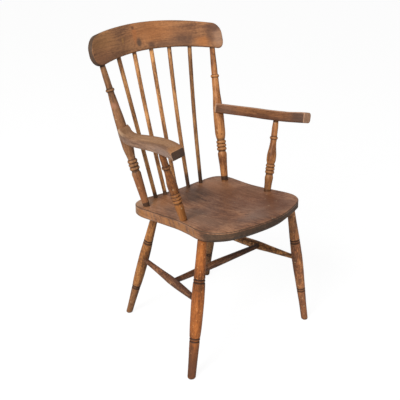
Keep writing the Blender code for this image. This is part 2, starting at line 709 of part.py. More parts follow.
def build_arm(side, label):
    hit = meet_arm(post_line(side), side, ARM_THICK / 2)
    shift = Vector((side * hit.x - ARM_DRAWN_AT[0], hit.y - ARM_DRAWN_AT[1]))
    inner = [p + shift for p in smooth_path(ARM_INNER, 19)]
    outer = [p + shift for p in smooth_path(ARM_OUTER, 19)]
    normal = arm_normal(side)
    bm = bmesh.new()
    rows = []
    for k, (a, b) in enumerate(zip(inner, outer)):
        in_top = Vector((side * a.x, a.y, arm_top_z(a.x, a.y)))
        out_top = Vector((side * b.x, b.y, arm_top_z(b.x, b.y)))
        across = (out_top - in_top).normalized()
        last = k == len(inner) - 1
        trim = 0.0022 if last else 0.0
        tip = ease(k / (len(inner) - 1), 0.75, 1.0)
        thick = ARM_THICK + (ARM_TIP_THICK[side > 0] - ARM_THICK) * tip
        lift = normal * ARM_TIP_RISE[side > 0] * tip
        row = []
        for base, inward, depth in (
                (in_top, ARM_EDGE + trim, trim), (out_top, -ARM_EDGE_OUT - trim, trim),
                (out_top, -trim, ARM_EDGE_OUT * 0.85 + trim), (out_top, -trim, thick - ARM_EDGE),
                (out_top, -ARM_EDGE - trim, thick - trim),
                (in_top, ARM_EDGE + trim, thick - trim),
                (in_top, trim, thick - ARM_EDGE), (in_top, trim, ARM_EDGE)):
            raised = lift if depth < thick / 2 else Vector()
            row.append(bm.verts.new(base + across * inward - normal * depth + raised))
        rows.append(row)
    for a, b in zip(rows, rows[1:]):
        for i in range(8):
            j = (i + 1) % 8
            bm.faces.new((a[i], a[j], b[j], b[i]))
    bm.faces.new(rows[0])
    bm.faces.new(rows[-1])
    arm = finish("arm_" + label, bm, (0.125, 0.066, 0.042), 0.48, sharp_deg=32.0)

    start, ahead = post_line(side)
    run = (ahead - start).normalized()
    cope = (hit - run * 0.04, hit + run * 0.04,
            socket_radius(POST_BULGE_R * POST_GIRTH[side > 0]))
    line = support_line(side)
    low = meet_arm(line, side, ARM_THICK)
    up = (line[1] - line[0]).normalized()
    add_cutter(arm, [cope, (low - up * 0.010, low + up * (SUPPORT_TOP_TENON + CLEAR),
                            socket_radius(SUPPORT_TOP_TENON_R))])
    add_arm_tenon(arm, side)
    return arm


def add_arm_tenon(arm, side):
    """Join the round tenon that enters the post to the coped end."""
    tip, base = arm_tenon(side)
    length = (tip - base).length
    bm = bmesh.new()
    revolve(bm, [(0.0, ARM_POST_TENON_R), (length, ARM_POST_TENON_R)], SIDES_THIN)
    bmesh.ops.recalc_face_normals(bm, faces=bm.faces)
    bmesh.ops.transform(bm, matrix=axis_matrix(base, tip), verts=bm.verts)
    mesh = bpy.data.meshes.new("add_" + arm.name)
    bm.to_mesh(mesh)
    bm.free()
    tenon = bpy.data.objects.new("add_" + arm.name, mesh)
    bpy.context.scene.collection.objects.link(tenon)
    tenon.hide_render = True
    tenon.display_type = "WIRE"
    mod = arm.modifiers.new("tenon", "BOOLEAN")
    mod.operation = "UNION"
    mod.solver = "EXACT"
    mod.object = tenon


def build_support(side, label):
    line = support_line(side)
    start = line[0]
    run = (line[1] - start).normalized()
    low = meet_arm(line, side, ARM_THICK)
    length = (low - start).length
    rise = SUPPORT_RIGHT_RISE if side < 0 else 0.0
    profile = [(-SUPPORT_TENON, SUPPORT_TENON_R), (SURFACE_RUN, SUPPORT_TENON_R),
               (SURFACE_RUN + 0.005, SUPPORT_BASE_R),
               (SUPPORT_SHOULDER + rise - 0.004, SUPPORT_SHOULDER_R),
               (SUPPORT_SHOULDER + rise, SUPPORT_SHOULDER_R - 0.0007)]
    first = SUPPORT_FIRST_BEAD + rise
    for i in range(3):
        points = bead(first + i * SUPPORT_BEAD_PITCH, SUPPORT_BEAD_R, SUPPORT_BEAD_PITCH / 2,
                      SUPPORT_VALE_R)
        profile += points if i == 0 else points[1:]
    profile += [(s + rise, r) for s, r in (
        (SUPPORT_BULGE - 0.0145, SUPPORT_NECK_R), (SUPPORT_BULGE - 0.008, SUPPORT_BULGE_R - 0.0006),
        (SUPPORT_BULGE, SUPPORT_BULGE_R), (SUPPORT_BULGE + 0.011, SUPPORT_BULGE_R - 0.0003),
        (SUPPORT_BULGE + 0.033, (SUPPORT_BULGE_R + SUPPORT_THIN_R) / 2 - 0.0008),
        (SUPPORT_RING - 0.012, SUPPORT_THIN_R))]
    profile += bead(SUPPORT_RING + rise, SUPPORT_RING_R, 0.0042, SUPPORT_THIN_R)
    profile += [(length - SURFACE_RUN - 0.004, SUPPORT_TOP_R),
                (length - SURFACE_RUN, SUPPORT_TOP_TENON_R),
                (length + SUPPORT_TOP_TENON, SUPPORT_TOP_TENON_R)]
    bm = revolve(bmesh.new(), [(s + SUPPORT_TENON, r) for s, r in profile], SIDES)
    return finish("arm_support_" + label, bm, (0.190, 0.078, 0.028), 0.42,
                  matrix=axis_matrix(start - run * SUPPORT_TENON, low))


def centre_on_origin():
    """Slide the whole chair so that its bounding box is centred over the origin."""
    graph = bpy.context.evaluated_depsgraph_get()
    points = []
    for obj in bpy.data.objects:
        if not obj.hide_render:
            shown = obj.evaluated_get(graph)
            points += [obj.matrix_world @ vert.co for vert in shown.data.vertices]
    slide = Matrix.Translation(Vector((
        -(min(p.x for p in points) + max(p.x for p in points)) / 2,
        -(min(p.y for p in points) + max(p.y for p in points)) / 2, 0.0)))
    for obj in bpy.data.objects:
        obj.matrix_world = slide @ obj.matrix_world
    bpy.context.view_layer.update()
    return slide.translation


def build_chair():
    clear_scene()
    build_seat()
    for side, label in SIDE_NAMES:
        build_leg(side, label, rear=False)
        build_leg(side, label, rear=True)
        build_side_stretcher(side, label)
        build_post(side, label)
        build_arm(side, label)
        build_support(side, label)
    build_cross_stretcher()
    for index in range(5):
        build_spindle(index)
    build_crest()
    bpy.context.view_layer.update()
    print("slide to the centre", tuple(round(v, 5) for v in centre_on_origin()))


build_chair()
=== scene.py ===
import math

import bmesh
import bpy
from mathutils import Matrix, Vector, noise


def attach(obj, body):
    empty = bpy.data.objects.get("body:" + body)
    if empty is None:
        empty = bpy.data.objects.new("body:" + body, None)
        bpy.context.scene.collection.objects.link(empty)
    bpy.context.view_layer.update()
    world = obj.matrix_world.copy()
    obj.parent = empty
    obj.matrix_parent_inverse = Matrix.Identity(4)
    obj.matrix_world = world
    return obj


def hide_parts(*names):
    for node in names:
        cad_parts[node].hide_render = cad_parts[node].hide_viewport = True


# Worn stick-back armchair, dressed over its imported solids. Everything is in metres, +Z up.
# The sitter faces -Y, so the sitter's right hand is on the -X side.
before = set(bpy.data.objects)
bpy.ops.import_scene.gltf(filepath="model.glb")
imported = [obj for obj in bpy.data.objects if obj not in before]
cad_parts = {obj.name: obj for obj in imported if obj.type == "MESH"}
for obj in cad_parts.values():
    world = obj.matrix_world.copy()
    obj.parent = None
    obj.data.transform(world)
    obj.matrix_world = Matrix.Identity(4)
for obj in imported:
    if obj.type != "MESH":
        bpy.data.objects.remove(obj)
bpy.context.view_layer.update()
middle = Vector((-0.0004, 0.0087, 0.0))   # moves the seat, crest and arms onto the centred solids


def screenTone(red, green, blue):   # a colour as a screen shows it, turned into linear light
    return tuple(((c / 255 + 0.055) / 1.055) ** 2.4 for c in (red, green, blue)) + (1.0,)


def ease(value, low, high):
    t = min(max((value - low) / (high - low), 0.0), 1.0)
    return t * t * (3 - 2 * t)


def curveThrough(knots):   # a smooth curve through (along, size) knots that never overshoots them
    xs = [k[0] for k in knots]
    ys = [k[1] for k in knots]
    slopes = [(y1 - y0) / (x1 - x0) for x0, x1, y0, y1 in zip(xs, xs[1:], ys, ys[1:])]
    tangents = [slopes[0]]
    tangents += [0.0 if a * b <= 0 else 2 * a * b / (a + b) for a, b in zip(slopes, slopes[1:])]
    tangents.append(slopes[-1])

    def sizeAt(s):
        i = sum(1 for x in xs[1:-1] if x <= s)
        h = xs[i + 1] - xs[i]
        t = min(max((s - xs[i]) / h, 0.0), 1.0)
        return (ys[i] * (2 * t ** 3 - 3 * t * t + 1) + tangents[i] * h * (t ** 3 - 2 * t * t + t)
                + ys[i + 1] * (3 * t * t - 2 * t ** 3) + tangents[i + 1] * h * (t ** 3 - t * t))
    return sizeAt


def roundPath(points, t, closed=False):   # Catmull-Rom point at t from 0 to 1
    spans = len(points) if closed else len(points) - 1
    k = min(int(t * spans), spans - 1)
    f = t * spans - k
    pick = (lambda j: points[j % len(points)]) if closed else (
        lambda j: points[min(max(j, 0), len(points) - 1)])
    a, b, c, d = (Vector(pick(k + j)) for j in (-1, 0, 1, 2))
    return 0.5 * (2 * b + (c - a) * f + (2 * a - 5 * b + 4 * c - d) * f * f
                  + (3 * b - a - 3 * c + d) * f ** 3)


def surfaceLayers(bm):   # grain runs along the third number; worn and grime go from 0 to 1
    return (bm.verts.layers.float_vector.new("grain"), bm.verts.layers.float.new("worn"),
            bm.verts.layers.float.new("grime"), bm.verts.layers.float.new("tone"))


def sweepGrid(bm, columns, rows, place):   # a grid wrapped round a form, its seams and poles closed
    grain, worn, grime, tone = surfaceLayers(bm)
    made = bmesh.ops.create_grid(bm, x_segments=columns, y_segments=rows, size=1.0)
    for vert in made["verts"]:
        spot = place(round((vert.co.x + 1) / 2 * columns), round((vert.co.y + 1) / 2 * rows))
        vert.co, vert[grain], vert[worn], vert[grime], vert[tone] = spot
    bmesh.ops.remove_doubles(bm, verts=bm.verts, dist=1e-6)
    openEdges = [e for e in bm.edges if e.is_boundary]
    if openEdges:
        bmesh.ops.holes_fill(bm, edges=openEdges, sides=0)
    bmesh.ops.recalc_face_normals(bm, faces=bm.faces)


def finishPiece(bm, name, node, material, sharp=40.0):
    mesh = bpy.data.meshes.new(name)
    bm.to_mesh(mesh)
    bm.free()
    mesh.polygons.foreach_set("use_smooth", [True] * len(mesh.polygons))
    mesh.set_sharp_from_angle(angle=math.radians(sharp))
    piece = bpy.data.objects.new(name, mesh)
    bpy.context.scene.collection.objects.link(piece)
    mesh.materials.append(material)
    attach(piece, "root")
    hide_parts(node)
    return piece


# Node helpers

def put(tree, kind, inputs=(), **settings):   # one node with its settings, input values and links
    node = tree.nodes.new(kind)
    for key, value in settings.items():
        setattr(node, key, value)
    for key, value in dict(inputs).items():
        if isinstance(value, bpy.types.NodeSocket):
            tree.links.new(value, node.inputs[key])
        else:
            node.inputs[key].default_value = value
    return node


def sumOf(tree, a, b, operation="ADD", clamp=False):
    return put(tree, "ShaderNodeMath", {0: a, 1: b}, operation=operation, use_clamp=clamp).outputs[0]


def vectorOf(tree, a, b, operation="ADD"):
    return put(tree, "ShaderNodeVectorMath", {0: a, 1: b}, operation=operation).outputs[0]


def noiseOf(tree, coord, scale, detail, roughness=0.5):
    return put(tree, "ShaderNodeTexNoise", {"Vector": coord, "Scale": scale, "Detail": detail,
                                            "Roughness": roughness})


def rangeOf(tree, value, low, high, to=(0.0, 1.0)):
    node = put(tree, "ShaderNodeMapRange", {"Value": value, "From Min": low, "From Max": high,
                                            "To Min": to[0], "To Max": to[1]},
               interpolation_type="SMOOTHSTEP")
    return node.outputs["Result"]


def blend(tree, amount, under, over, mode="MIX"):
    return put(tree, "ShaderNodeMix", {0: amount, 6: under, 7: over}, data_type="RGBA",
               blend_type=mode).outputs[2]


def useGroup(tree, group, inputs):
    return put(tree, "ShaderNodeGroup", inputs, node_tree=group)


def startGroup(name, inputs, outputs):
    tree = bpy.data.node_groups.new(name, "ShaderNodeTree")
    for label, kind, value in inputs:
        socket = tree.interface.new_socket(label, in_out="INPUT", socket_type="NodeSocket" + kind)
        if kind != "Vector":
            socket.default_value = value
    for label in outputs:
        tree.interface.new_socket(label, in_out="OUTPUT", socket_type="NodeSocketFloat")
    return tree, tree.nodes.new("NodeGroupInput"), tree.nodes.new("NodeGroupOutput")


def woodGrainGroup():   # long streaks, wider bands, open pores and slow clouds of one plank or blank
    tree, given, result = startGroup(
        "woodGrain",
        (("Coord", "Vector", None), ("Seed", "Float", 0.0), ("Streak Scale", "Float", 330.0),
         ("Band Scale", "Float", 95.0), ("Along", "Float", 0.05)),
        ("Streak", "Band", "Pore", "Cloud", "Grit"))
    offset = put(tree, "ShaderNodeCombineXYZ", {"X": given.outputs["Seed"], "Y": 0.37,
                                                "Z": given.outputs["Seed"]}).outputs[0]
    coord = vectorOf(tree, given.outputs["Coord"], offset)
    drift = noiseOf(tree, coord, 7.0, 2.0).outputs["Color"]
    drift = vectorOf(tree, drift, (0.5, 0.5, 0.5), "SUBTRACT")
    coord = vectorOf(tree, coord, vectorOf(tree, drift, (0.016, 0.016, 0.0), "MULTIPLY"))
    squeeze = put(tree, "ShaderNodeCombineXYZ", {"X": 1.0, "Y": 1.0, "Z": given.outputs["Along"]})
    along = vectorOf(tree, coord, squeeze.outputs[0], "MULTIPLY")
    short = vectorOf(tree, coord, (1.0, 1.0, 0.55), "MULTIPLY")
    for label, at, scale, detail, roughness, low, high in (
            ("Streak", along, given.outputs["Streak Scale"], 4.0, 0.62, 0.30, 0.70),
            ("Band", along, given.outputs["Band Scale"], 2.5, 0.50, 0.32, 0.68),
            ("Pore", along, 1150.0, 1.0, 0.50, 0.60, 0.72),
            ("Cloud", coord, 11.0, 3.0, 0.55, 0.34, 0.66),
            ("Grit", short, 230.0, 3.0, 0.60, 0.32, 0.68)):
        pattern = noiseOf(tree, at, scale, detail, roughness).outputs[0]
        tree.links.new(rangeOf(tree, pattern, low, high), result.inputs[label])
    return tree


def stainPatchGroup():   # one soft patch with a ragged rim
    tree, given, result = startGroup(
        "stainPatch",
        (("Coord", "Vector", None), ("Centre", "Vector", None), ("Reach", "Vector", None),
         ("Ragged", "Float", 0.8), ("Softness", "Float", 0.5)), ("Mask",))
    away = vectorOf(tree, given.outputs["Coord"], given.outputs["Centre"], "SUBTRACT")
    away = vectorOf(tree, away, given.outputs["Reach"], "DIVIDE")
    away = put(tree, "ShaderNodeVectorMath", {0: away}, operation="LENGTH").outputs["Value"]
    drawn = vectorOf(tree, given.outputs["Coord"], (1.0, 1.0, 0.45), "MULTIPLY")
    tear = sumOf(tree, noiseOf(tree, drawn, 75.0, 7.0, 0.72).outputs[0], 0.5, "SUBTRACT")
    away = sumOf(tree, away, sumOf(tree, tear, given.outputs["Ragged"], "MULTIPLY"))
    inner = sumOf(tree, 1.0, given.outputs["Softness"], "SUBTRACT")
    outer = sumOf(tree, 1.0, given.outputs["Softness"])
    tree.links.new(rangeOf(tree, away, inner, outer, (1.0, 0.0)), result.inputs["Mask"])
    return tree


def smudgeGroup():   # soft dark mottling of an old hand-rubbed finish
    tree, given, result = startGroup(
        "smudge", (("Coord", "Vector", None), ("Seed", "Float", 0.0), ("Scale", "Float", 40.0),
                   ("Share", "Float", 0.5)), ("Mask",))
    offset = put(tree, "ShaderNodeCombineXYZ", {"X": 1.7, "Y": given.outputs["Seed"],
                                                "Z": 0.9}).outputs[0]
    coord = vectorOf(tree, vectorOf(tree, given.outputs["Coord"], offset), (1.0, 1.0, 0.42),
                     "MULTIPLY")
    cloud = noiseOf(tree, coord, given.outputs["Scale"], 5.0, 0.68).outputs[0]
    low = sumOf(tree, 0.72, sumOf(tree, given.outputs["Share"], 0.3, "MULTIPLY"), "SUBTRACT")
    tree.links.new(rangeOf(tree, cloud, low, sumOf(tree, low, 0.16)), result.inputs["Mask"])
    return tree


def brokenEdgeGroup():   # a given amount of wear or grime, broken up so that it never looks drawn
    tree, given, result = startGroup(
        "brokenEdge",
        (("Amount", "Float", 0.0), ("Coord", "Vector", None), ("Scale", "Float", 70.0),
         ("Breakup", "Float", 0.6)), ("Mask",))
    amount = given.outputs["Amount"]
    flecks = noiseOf(tree, given.outputs["Coord"], given.outputs["Scale"], 4.0, 0.6).outputs[0]
    flecks = sumOf(tree, sumOf(tree, flecks, 0.5, "SUBTRACT"), given.outputs["Breakup"], "MULTIPLY")
    total = sumOf(tree, amount, sumOf(tree, flecks, amount, "MULTIPLY"))
    tree.links.new(rangeOf(tree, total, 0.12, 0.85), result.inputs["Mask"])
    return tree


def speckGroup():   # sparse chips and dots
    tree, given, result = startGroup(
        "specks", (("Coord", "Vector", None), ("Scale", "Float", 90.0), ("Share", "Float", 0.1),
                   ("Size", "Float", 0.16)), ("Mask",))
    cell = put(tree, "ShaderNodeTexVoronoi", {"Vector": given.outputs["Coord"],
                                              "Scale": given.outputs["Scale"]})
    near = put(tree, "ShaderNodeMapRange", {"Value": cell.outputs["Distance"],
                                            "From Min": sumOf(tree, given.outputs["Size"], 0.5,
                                                              "MULTIPLY"),
                                            "From Max": given.outputs["Size"],
                                            "To Min": 1.0, "To Max": 0.0})
    pick = put(tree, "ShaderNodeSeparateColor", {"Color": cell.outputs["Color"]}).outputs[0]
    pick = sumOf(tree, pick, given.outputs["Share"], "LESS_THAN")
    tree.links.new(sumOf(tree, near.outputs["Result"], pick, "MULTIPLY"), result.inputs["Mask"])
    return tree


woodGrain = woodGrainGroup()
stainPatch = stainPatchGroup()
smudge = smudgeGroup()
brokenEdge = brokenEdgeGroup()
specks = speckGroup()

# how a wood looks where a piece's own look says nothing else. A patch is (centre, reach, colour,
# strength, raggedness, softness) and a smudge is (scale, share, strength)
plainLook = {
    "streakScale": 330.0, "bandScale": 95.0, "along": 0.05, "pores": 0.35,
    "speckScale": 75.0, "speckShare": 0.05, "speckAmount": 0.6, "speckSize": 0.27,   # pale chips
    "markScale": 52.0, "markShare": 0.06, "markAmount": 0.5, "markSize": 0.30,   # dark dents
    "wear": 0.6, "wearScale": 80.0, "wearBreakup": 1.3,
    "dirt": 0.85, "dirtScale": 55.0, "dirtBreakup": 0.7,
    "rough": 0.46, "specular": 0.26, "bump": 0.35,
    "smudges": ((38.0, 0.55, 0.45), (110.0, 0.50, 0.35)), "patches": (),
}


def woodMaterial(name, look):
    look = dict(plainLook, **look)
    material = bpy.data.materials.new(name)
    material.use_nodes = True
    tree = material.node_tree
    shader = tree.nodes["Principled BSDF"]
    coord = put(tree, "ShaderNodeAttribute", (), attribute_name="grain").outputs["Vector"]
    worn = put(tree, "ShaderNodeAttribute", (), attribute_name="worn").outputs["Fac"]
    grime = put(tree, "ShaderNodeAttribute", (), attribute_name="grime").outputs["Fac"]
    overall = put(tree, "ShaderNodeAttribute", (), attribute_name="tone").outputs["Fac"]
    grain = useGroup(tree, woodGrain, {
        "Coord": coord, "Seed": look["seed"], "Streak Scale": look["streakScale"],
        "Band Scale": look["bandScale"], "Along": look["along"]})

    # base stain: streaks, bands, clouds and grit choose between the deep, middle and light tones
    level = None
    for part, share in zip(("Streak", "Band", "Cloud", "Grit"), look["mix"]):
        share = sumOf(tree, grain.outputs[part], share, "MULTIPLY")
        level = sumOf(tree, level, share) if level else share
    ramp = put(tree, "ShaderNodeValToRGB", {"Fac": level})
    stops = ramp.color_ramp.elements
    stops[0].position, stops[0].color = 0.25, screenTone(*look["deep"])
    stops[1].position, stops[1].color = 0.77, screenTone(*look["light"])
    stop = stops.new(0.50)
    stop.color = screenTone(*look["middle"])
    colour = ramp.outputs["Color"]

    for centre, reach, tone, strength, ragged, softness in look["patches"]:
        patch = useGroup(tree, stainPatch, {"Coord": coord, "Centre": centre, "Reach": reach,
                                            "Ragged": ragged, "Softness": softness})
        amount = sumOf(tree, patch.outputs["Mask"], strength, "MULTIPLY")
        amount = sumOf(tree, amount, rangeOf(tree, grain.outputs["Streak"], 0.0, 1.0, (0.75, 1.0)),
                       "MULTIPLY", clamp=True)
        colour = blend(tree, amount, colour, screenTone(*tone))

    def tinted(mask, amount, tone):   # the colour so far with a tone laid over it
        return blend(tree, sumOf(tree, mask, amount, "MULTIPLY"), colour, screenTone(*look[tone]))

    for scale, share, amount in look["smudges"]:
        mottle = useGroup(tree, smudge, {"Coord": coord, "Seed": look["seed"] + scale,
                                         "Scale": scale, "Share": share})
        colour = tinted(mottle.outputs["Mask"], amount, "smudgeTone")
    colour = tinted(grain.outputs["Pore"], look["pores"], "poreTone")
    masks = {}
    for label, group, inputs, amount, tone in (
            ("wear", brokenEdge, {"Amount": worn, "Breakup": look["wearBreakup"]}, "wear", "wornTone"),
            ("speck", specks, {"Share": look["speckShare"], "Size": look["speckSize"]},
             "speckAmount", "speckTone"),
            ("dirt", brokenEdge, {"Amount": grime, "Breakup": look["dirtBreakup"]}, "dirt", "dirtTone"),
            ("mark", specks, {"Share": look["markShare"], "Size": look["markSize"]},
             "markAmount", "dirtTone")):
        inputs.update({"Coord": coord, "Scale": look[label + "Scale"]})
        masks[label] = useGroup(tree, group, inputs).outputs["Mask"]
        colour = tinted(masks[label], look[amount], tone)
    shade = put(tree, "ShaderNodeCombineColor", {0: overall, 1: overall, 2: overall}).outputs[0]
    colour = blend(tree, 1.0, colour, shade, "MULTIPLY")   # darkens or lifts a whole piece; it also carries the painted shade on one side of a turned piece
    tree.links.new(colour, shader.inputs["Base Color"])

    rough = rangeOf(tree, level, 0.2, 0.8, (look["rough"] + 0.07, look["rough"] - 0.05))
    rough = sumOf(tree, rough, sumOf(tree, masks["dirt"], 0.18, "MULTIPLY"))
    rough = sumOf(tree, rough, sumOf(tree, masks["wear"], 0.08, "MULTIPLY"), clamp=True)
    tree.links.new(rough, shader.inputs["Roughness"])
    shader.inputs["Specular IOR Level"].default_value = look["specular"]

    height = sumOf(tree, sumOf(tree, grain.outputs["Streak"], 0.35, "MULTIPLY"),
                   sumOf(tree, grain.outputs["Pore"], -0.55, "MULTIPLY"))
    height = sumOf(tree, height, sumOf(tree, grain.outputs["Band"], 0.5, "MULTIPLY"))
    height = sumOf(tree, height, sumOf(tree, masks["mark"], -0.9, "MULTIPLY"))
    bump = put(tree, "ShaderNodeBump", {"Height": height, "Strength": look["bump"],
                                        "Distance": 0.0006})
    tree.links.new(bump.outputs["Normal"], shader.inputs["Normal"])
    return material


print("node groups ready")

# Turned pieces: legs, stretchers, back posts, spindles and arm supports

turnery = {
    "sides": 44,          # facets round a piece
    "step": 0.0045,       # distance between rings on a plain stretch
    "unevenness": 0.010,  # how far a piece is out of round, as a share of its radius
    "footRound": 0.0065,  # rounding of a leg's lower end
    "wear": 0.08,         # wear all over a piece; the crowns of beads have more
    "paintedShadeWay": (0.760, -0.649, 0.0),   # the way the side with painted shade faces; a negative shade turns it round
}


def turnedPiece(name, node, material, start, end, knots, beads=(), grooves=(), marks=(),
                bow=0.0, sway=0.0, seed=0.0, foot=False, toneAt=None, shade=0.0):
    start, end = Vector(start), Vector(end)
    base = curveThrough(knots)

    def radiusAt(s):
        r = base(s)
        for centre, radius, half, vale in beads:
            if abs(s - centre) <= half:
                r = vale + (radius - vale) * math.sqrt(max(1 - ((s - centre) / half) ** 2, 0.0))
        for centre, depth, half in grooves:
            if abs(s - centre) < half:
                r -= depth * (1 - abs(s - centre) / half) ** 0.8
        return r

    def grimeAt(s):
        worst = 0.0
        for centre, radius, half, vale in beads:
            for edge in (centre - half, centre + half):
                worst = max(worst, 0.7 * (1 - ease(abs(s - edge), 0.0002, half * 0.60)))
        for centre, depth, half in grooves:
            worst = max(worst, 1.0 - ease(abs(s - centre), half * 0.75, half * 1.20))
        for centre, half, strength in marks:
            worst = max(worst, strength * (1 - ease(abs(s - centre), half * 0.6, half * 1.2)))
        return worst

    first, last = knots[0][0], knots[-1][0]
    count = max(int((last - first) / turnery["step"]), 4)
    stations = {round(first + (last - first) * i / count, 5) for i in range(count + 1)}
    for centre, radius, half, vale in beads:
        stations = {s for s in stations if abs(s - centre) > half + 0.0008}
        stations |= {round(centre - half * math.cos(math.pi * i / 12), 5) for i in range(13)}
    for centre, depth, half in grooves:
        stations = {s for s in stations if abs(s - centre) > half * 1.6}
        stations |= {round(centre + half * f, 5) for f in (-1.4, -1.0, -0.6, 0.0, 0.6, 1.0, 1.4)}
    for centre, half, strength in marks:
        stations |= {round(centre + half * f, 5) for f in (-1.2, -0.9, -0.6, 0.6, 0.9, 1.2)
                     if first < centre + half * f < last}
    if foot:   # leaves room for the rounded end
        stations = {s for s in stations if s > 0.014} | {first}
    profile = [(s, radiusAt(s)) for s in sorted(stations)]

    bm = bmesh.new()
    grain, worn, grime, tone = surfaceLayers(bm)
    outline = [(first, 0.0)] + profile + [(last, 0.0)]
    verts = [bm.verts.new((radius, 0.0, s)) for s, radius in outline]
    edges = [bm.edges.new(pair) for pair in zip(verts, verts[1:])]
    bmesh.ops.spin(bm, geom=verts + edges, cent=(0, 0, 0), axis=(0, 0, 1), angle=2 * math.pi,
                   steps=turnery["sides"], use_merge=True, use_duplicate=False)
    bmesh.ops.remove_doubles(bm, verts=bm.verts, dist=2e-5)
    matrix = (end - start).normalized().to_track_quat("Z", "Y").to_matrix().to_4x4()
    matrix.translation = start
    turned = matrix.inverted().to_3x3()
    lean = turned @ Vector((0.0, 1.0, 0.0)) * bow + turned @ Vector((1.0, 0.0, 0.0)) * sway
    length = (end - start).length
    for vert in bm.verts:
        s = vert.co.z
        vert[grain] = vert.co + Vector((0.0, 0.0, seed))
        vert[grime] = grimeAt(s)
        # painted shade: the side that faces the shade way is darkened in the tone, as if turned away
        # from the lamp
        facing = (matrix.to_3x3() @ Vector((vert.co.x, vert.co.y, 0.0))).normalized()
        facing = facing.dot(Vector(turnery["paintedShadeWay"])) * math.copysign(1.0, shade)
        vert[tone] = (toneAt(s) if toneAt else 1.0) * (1 - abs(shade) * ease(facing, 0.0, 0.9))
        crown = max([1 - ease(abs(s - c), 0.0, half * 0.6) for c, r, half, v in beads] or [0.0])
        vert[worn] = min(turnery["wear"] + 0.75 * crown, 1.0)
        lump = noise.noise(Vector((vert.co.x * 34, vert.co.y * 34, s * 22 + seed * 9)))
        swing = 1 + turnery["unevenness"] * lump
        vert.co.x *= swing
        vert.co.y *= swing
        if lean.length:
            vert.co += lean * math.sin(math.pi * min(max(s / length, 0.0), 1.0))
    bmesh.ops.transform(bm, matrix=matrix, verts=bm.verts)
    if foot:   # saw the foot level with the floor and take off its sharp rim
        cut = bmesh.ops.bisect_plane(bm, geom=bm.verts[:] + bm.edges[:] + bm.faces[:],
                                     plane_co=(0, 0, 0), plane_no=(0, 0, 1), clear_inner=True)
        rim = [g for g in cut["geom_cut"] if isinstance(g, bmesh.types.BMEdge)]
        bmesh.ops.holes_fill(bm, edges=rim, sides=0)
        rim = [e for e in bm.edges if all(abs(v.co.z) < 1e-6 for v in e.verts)]
        bmesh.ops.bevel(bm, geom=rim, offset=turnery["footRound"], offset_type="OFFSET",
                        affect="EDGES", segments=5, profile=0.5, material=-1, clamp_overlap=True)
        for vert in bm.verts:
            vert[grime] = max(vert[grime], 0.45 * (1 - ease(vert.co.z, 0.002, 0.012)))
    bmesh.ops.recalc_face_normals(bm, faces=bm.faces)
    return finishPiece(bm, name, node, material)


# a turned piece's patch lies at its distance along the piece plus the piece's seed
orangeStain = {
    "seed": 0.4, "deep": (112, 66, 36), "middle": (158, 94, 50), "light": (192, 120, 66),
    "poreTone": (78, 46, 28), "wornTone": (196, 142, 88), "dirtTone": (52, 34, 24),
    "speckTone": (222, 184, 138), "smudgeTone": (84, 54, 36), "mix": (0.24, 0.20, 0.26, 0.30),
    "rough": 0.46, "along": 0.10, "pores": 0.30, "wear": 0.42, "speckShare": 0.07,
    "speckScale": 78.0, "speckAmount": 0.55, "markShare": 0.05,
}
postLook = dict(orangeStain, seed=3.1, deep=(118, 72, 40), middle=(172, 112, 65),
                light=(206, 142, 84), dirtTone=(62, 44, 32), mix=(0.28, 0.26, 0.30, 0.16),
                smudges=((38.0, 0.50, 0.28), (110.0, 0.45, 0.25)), markShare=0.12, markScale=85.0)
nearPostLook = dict(postLook, seed=3.9, deep=(104, 72, 48), middle=(150, 104, 68),
                    light=(182, 130, 86), markShare=0.20, markScale=95.0, speckShare=0.14, patches=(
                        ((0.0, 0.0, 10.055), (0.2, 0.2, 0.048), (164, 98, 58), 0.60, 0.8, 0.5),
                        ((0.0, 0.0, 10.245), (0.2, 0.2, 0.070), (172, 120, 84), 0.45, 0.9, 0.6),
                        ((0.0, 0.0, 10.318), (0.2, 0.2, 0.007), (196, 136, 106), 0.50, 1.6, 0.6)))
nearSupportLook = dict(postLook, seed=6.3, deep=(100, 60, 34), middle=(150, 92, 50),
                       light=(184, 118, 64), speckShare=0.05, markShare=0.16, markScale=90.0,
                       mix=(0.26, 0.24, 0.28, 0.22), patches=(
                           ((0.0, 0.0, 30.018), (0.2, 0.2, 0.042), (176, 112, 52), 0.65, 0.8, 0.5),))
spindleLook = dict(orangeStain, seed=5.7, deep=(112, 74, 44), middle=(168, 116, 70),
                   light=(206, 150, 94), streakScale=420.0, bandScale=140.0,
                   mix=(0.32, 0.26, 0.26, 0.16), dirtTone=(66, 46, 34))
stretcherLook = dict(orangeStain, seed=8.2, deep=(74, 48, 34), middle=(114, 74, 50),
                     light=(154, 106, 72), smudgeTone=(62, 42, 38), wear=0.3, patches=(
                         # painted shade and painted light: a dark patch on the upper side and a golden
                         # one on the lower side of the right stretcher
                         ((0.0, 0.012, 7.240), (0.012, 0.008, 0.075), (86, 58, 50), 0.70, 0.6, 0.5),
                         ((0.0, -0.012, 7.150), (0.020, 0.009, 0.170), (166, 108, 60), 0.60, 0.6, 0.6)))
goldenLook = dict(stretcherLook, seed=8.9, deep=(96, 64, 40), middle=(156, 108, 64),
                  light=(196, 144, 88), smudgeTone=(50, 38, 30), markShare=0.30, markScale=80.0,
                  smudges=((46.0, 0.90, 0.75), (110.0, 0.80, 0.50)))

postWood = woodMaterial("postStain", postLook)
nearPostWood = woodMaterial("nearPostStain", nearPostLook)
nearSupportWood = woodMaterial("nearSupportStain", nearSupportLook)
spindleWood = woodMaterial("spindleStain", spindleLook)
stretcherWood = woodMaterial("stretcherStain", stretcherLook)
goldenWood = woodMaterial("goldenStain", goldenLook)
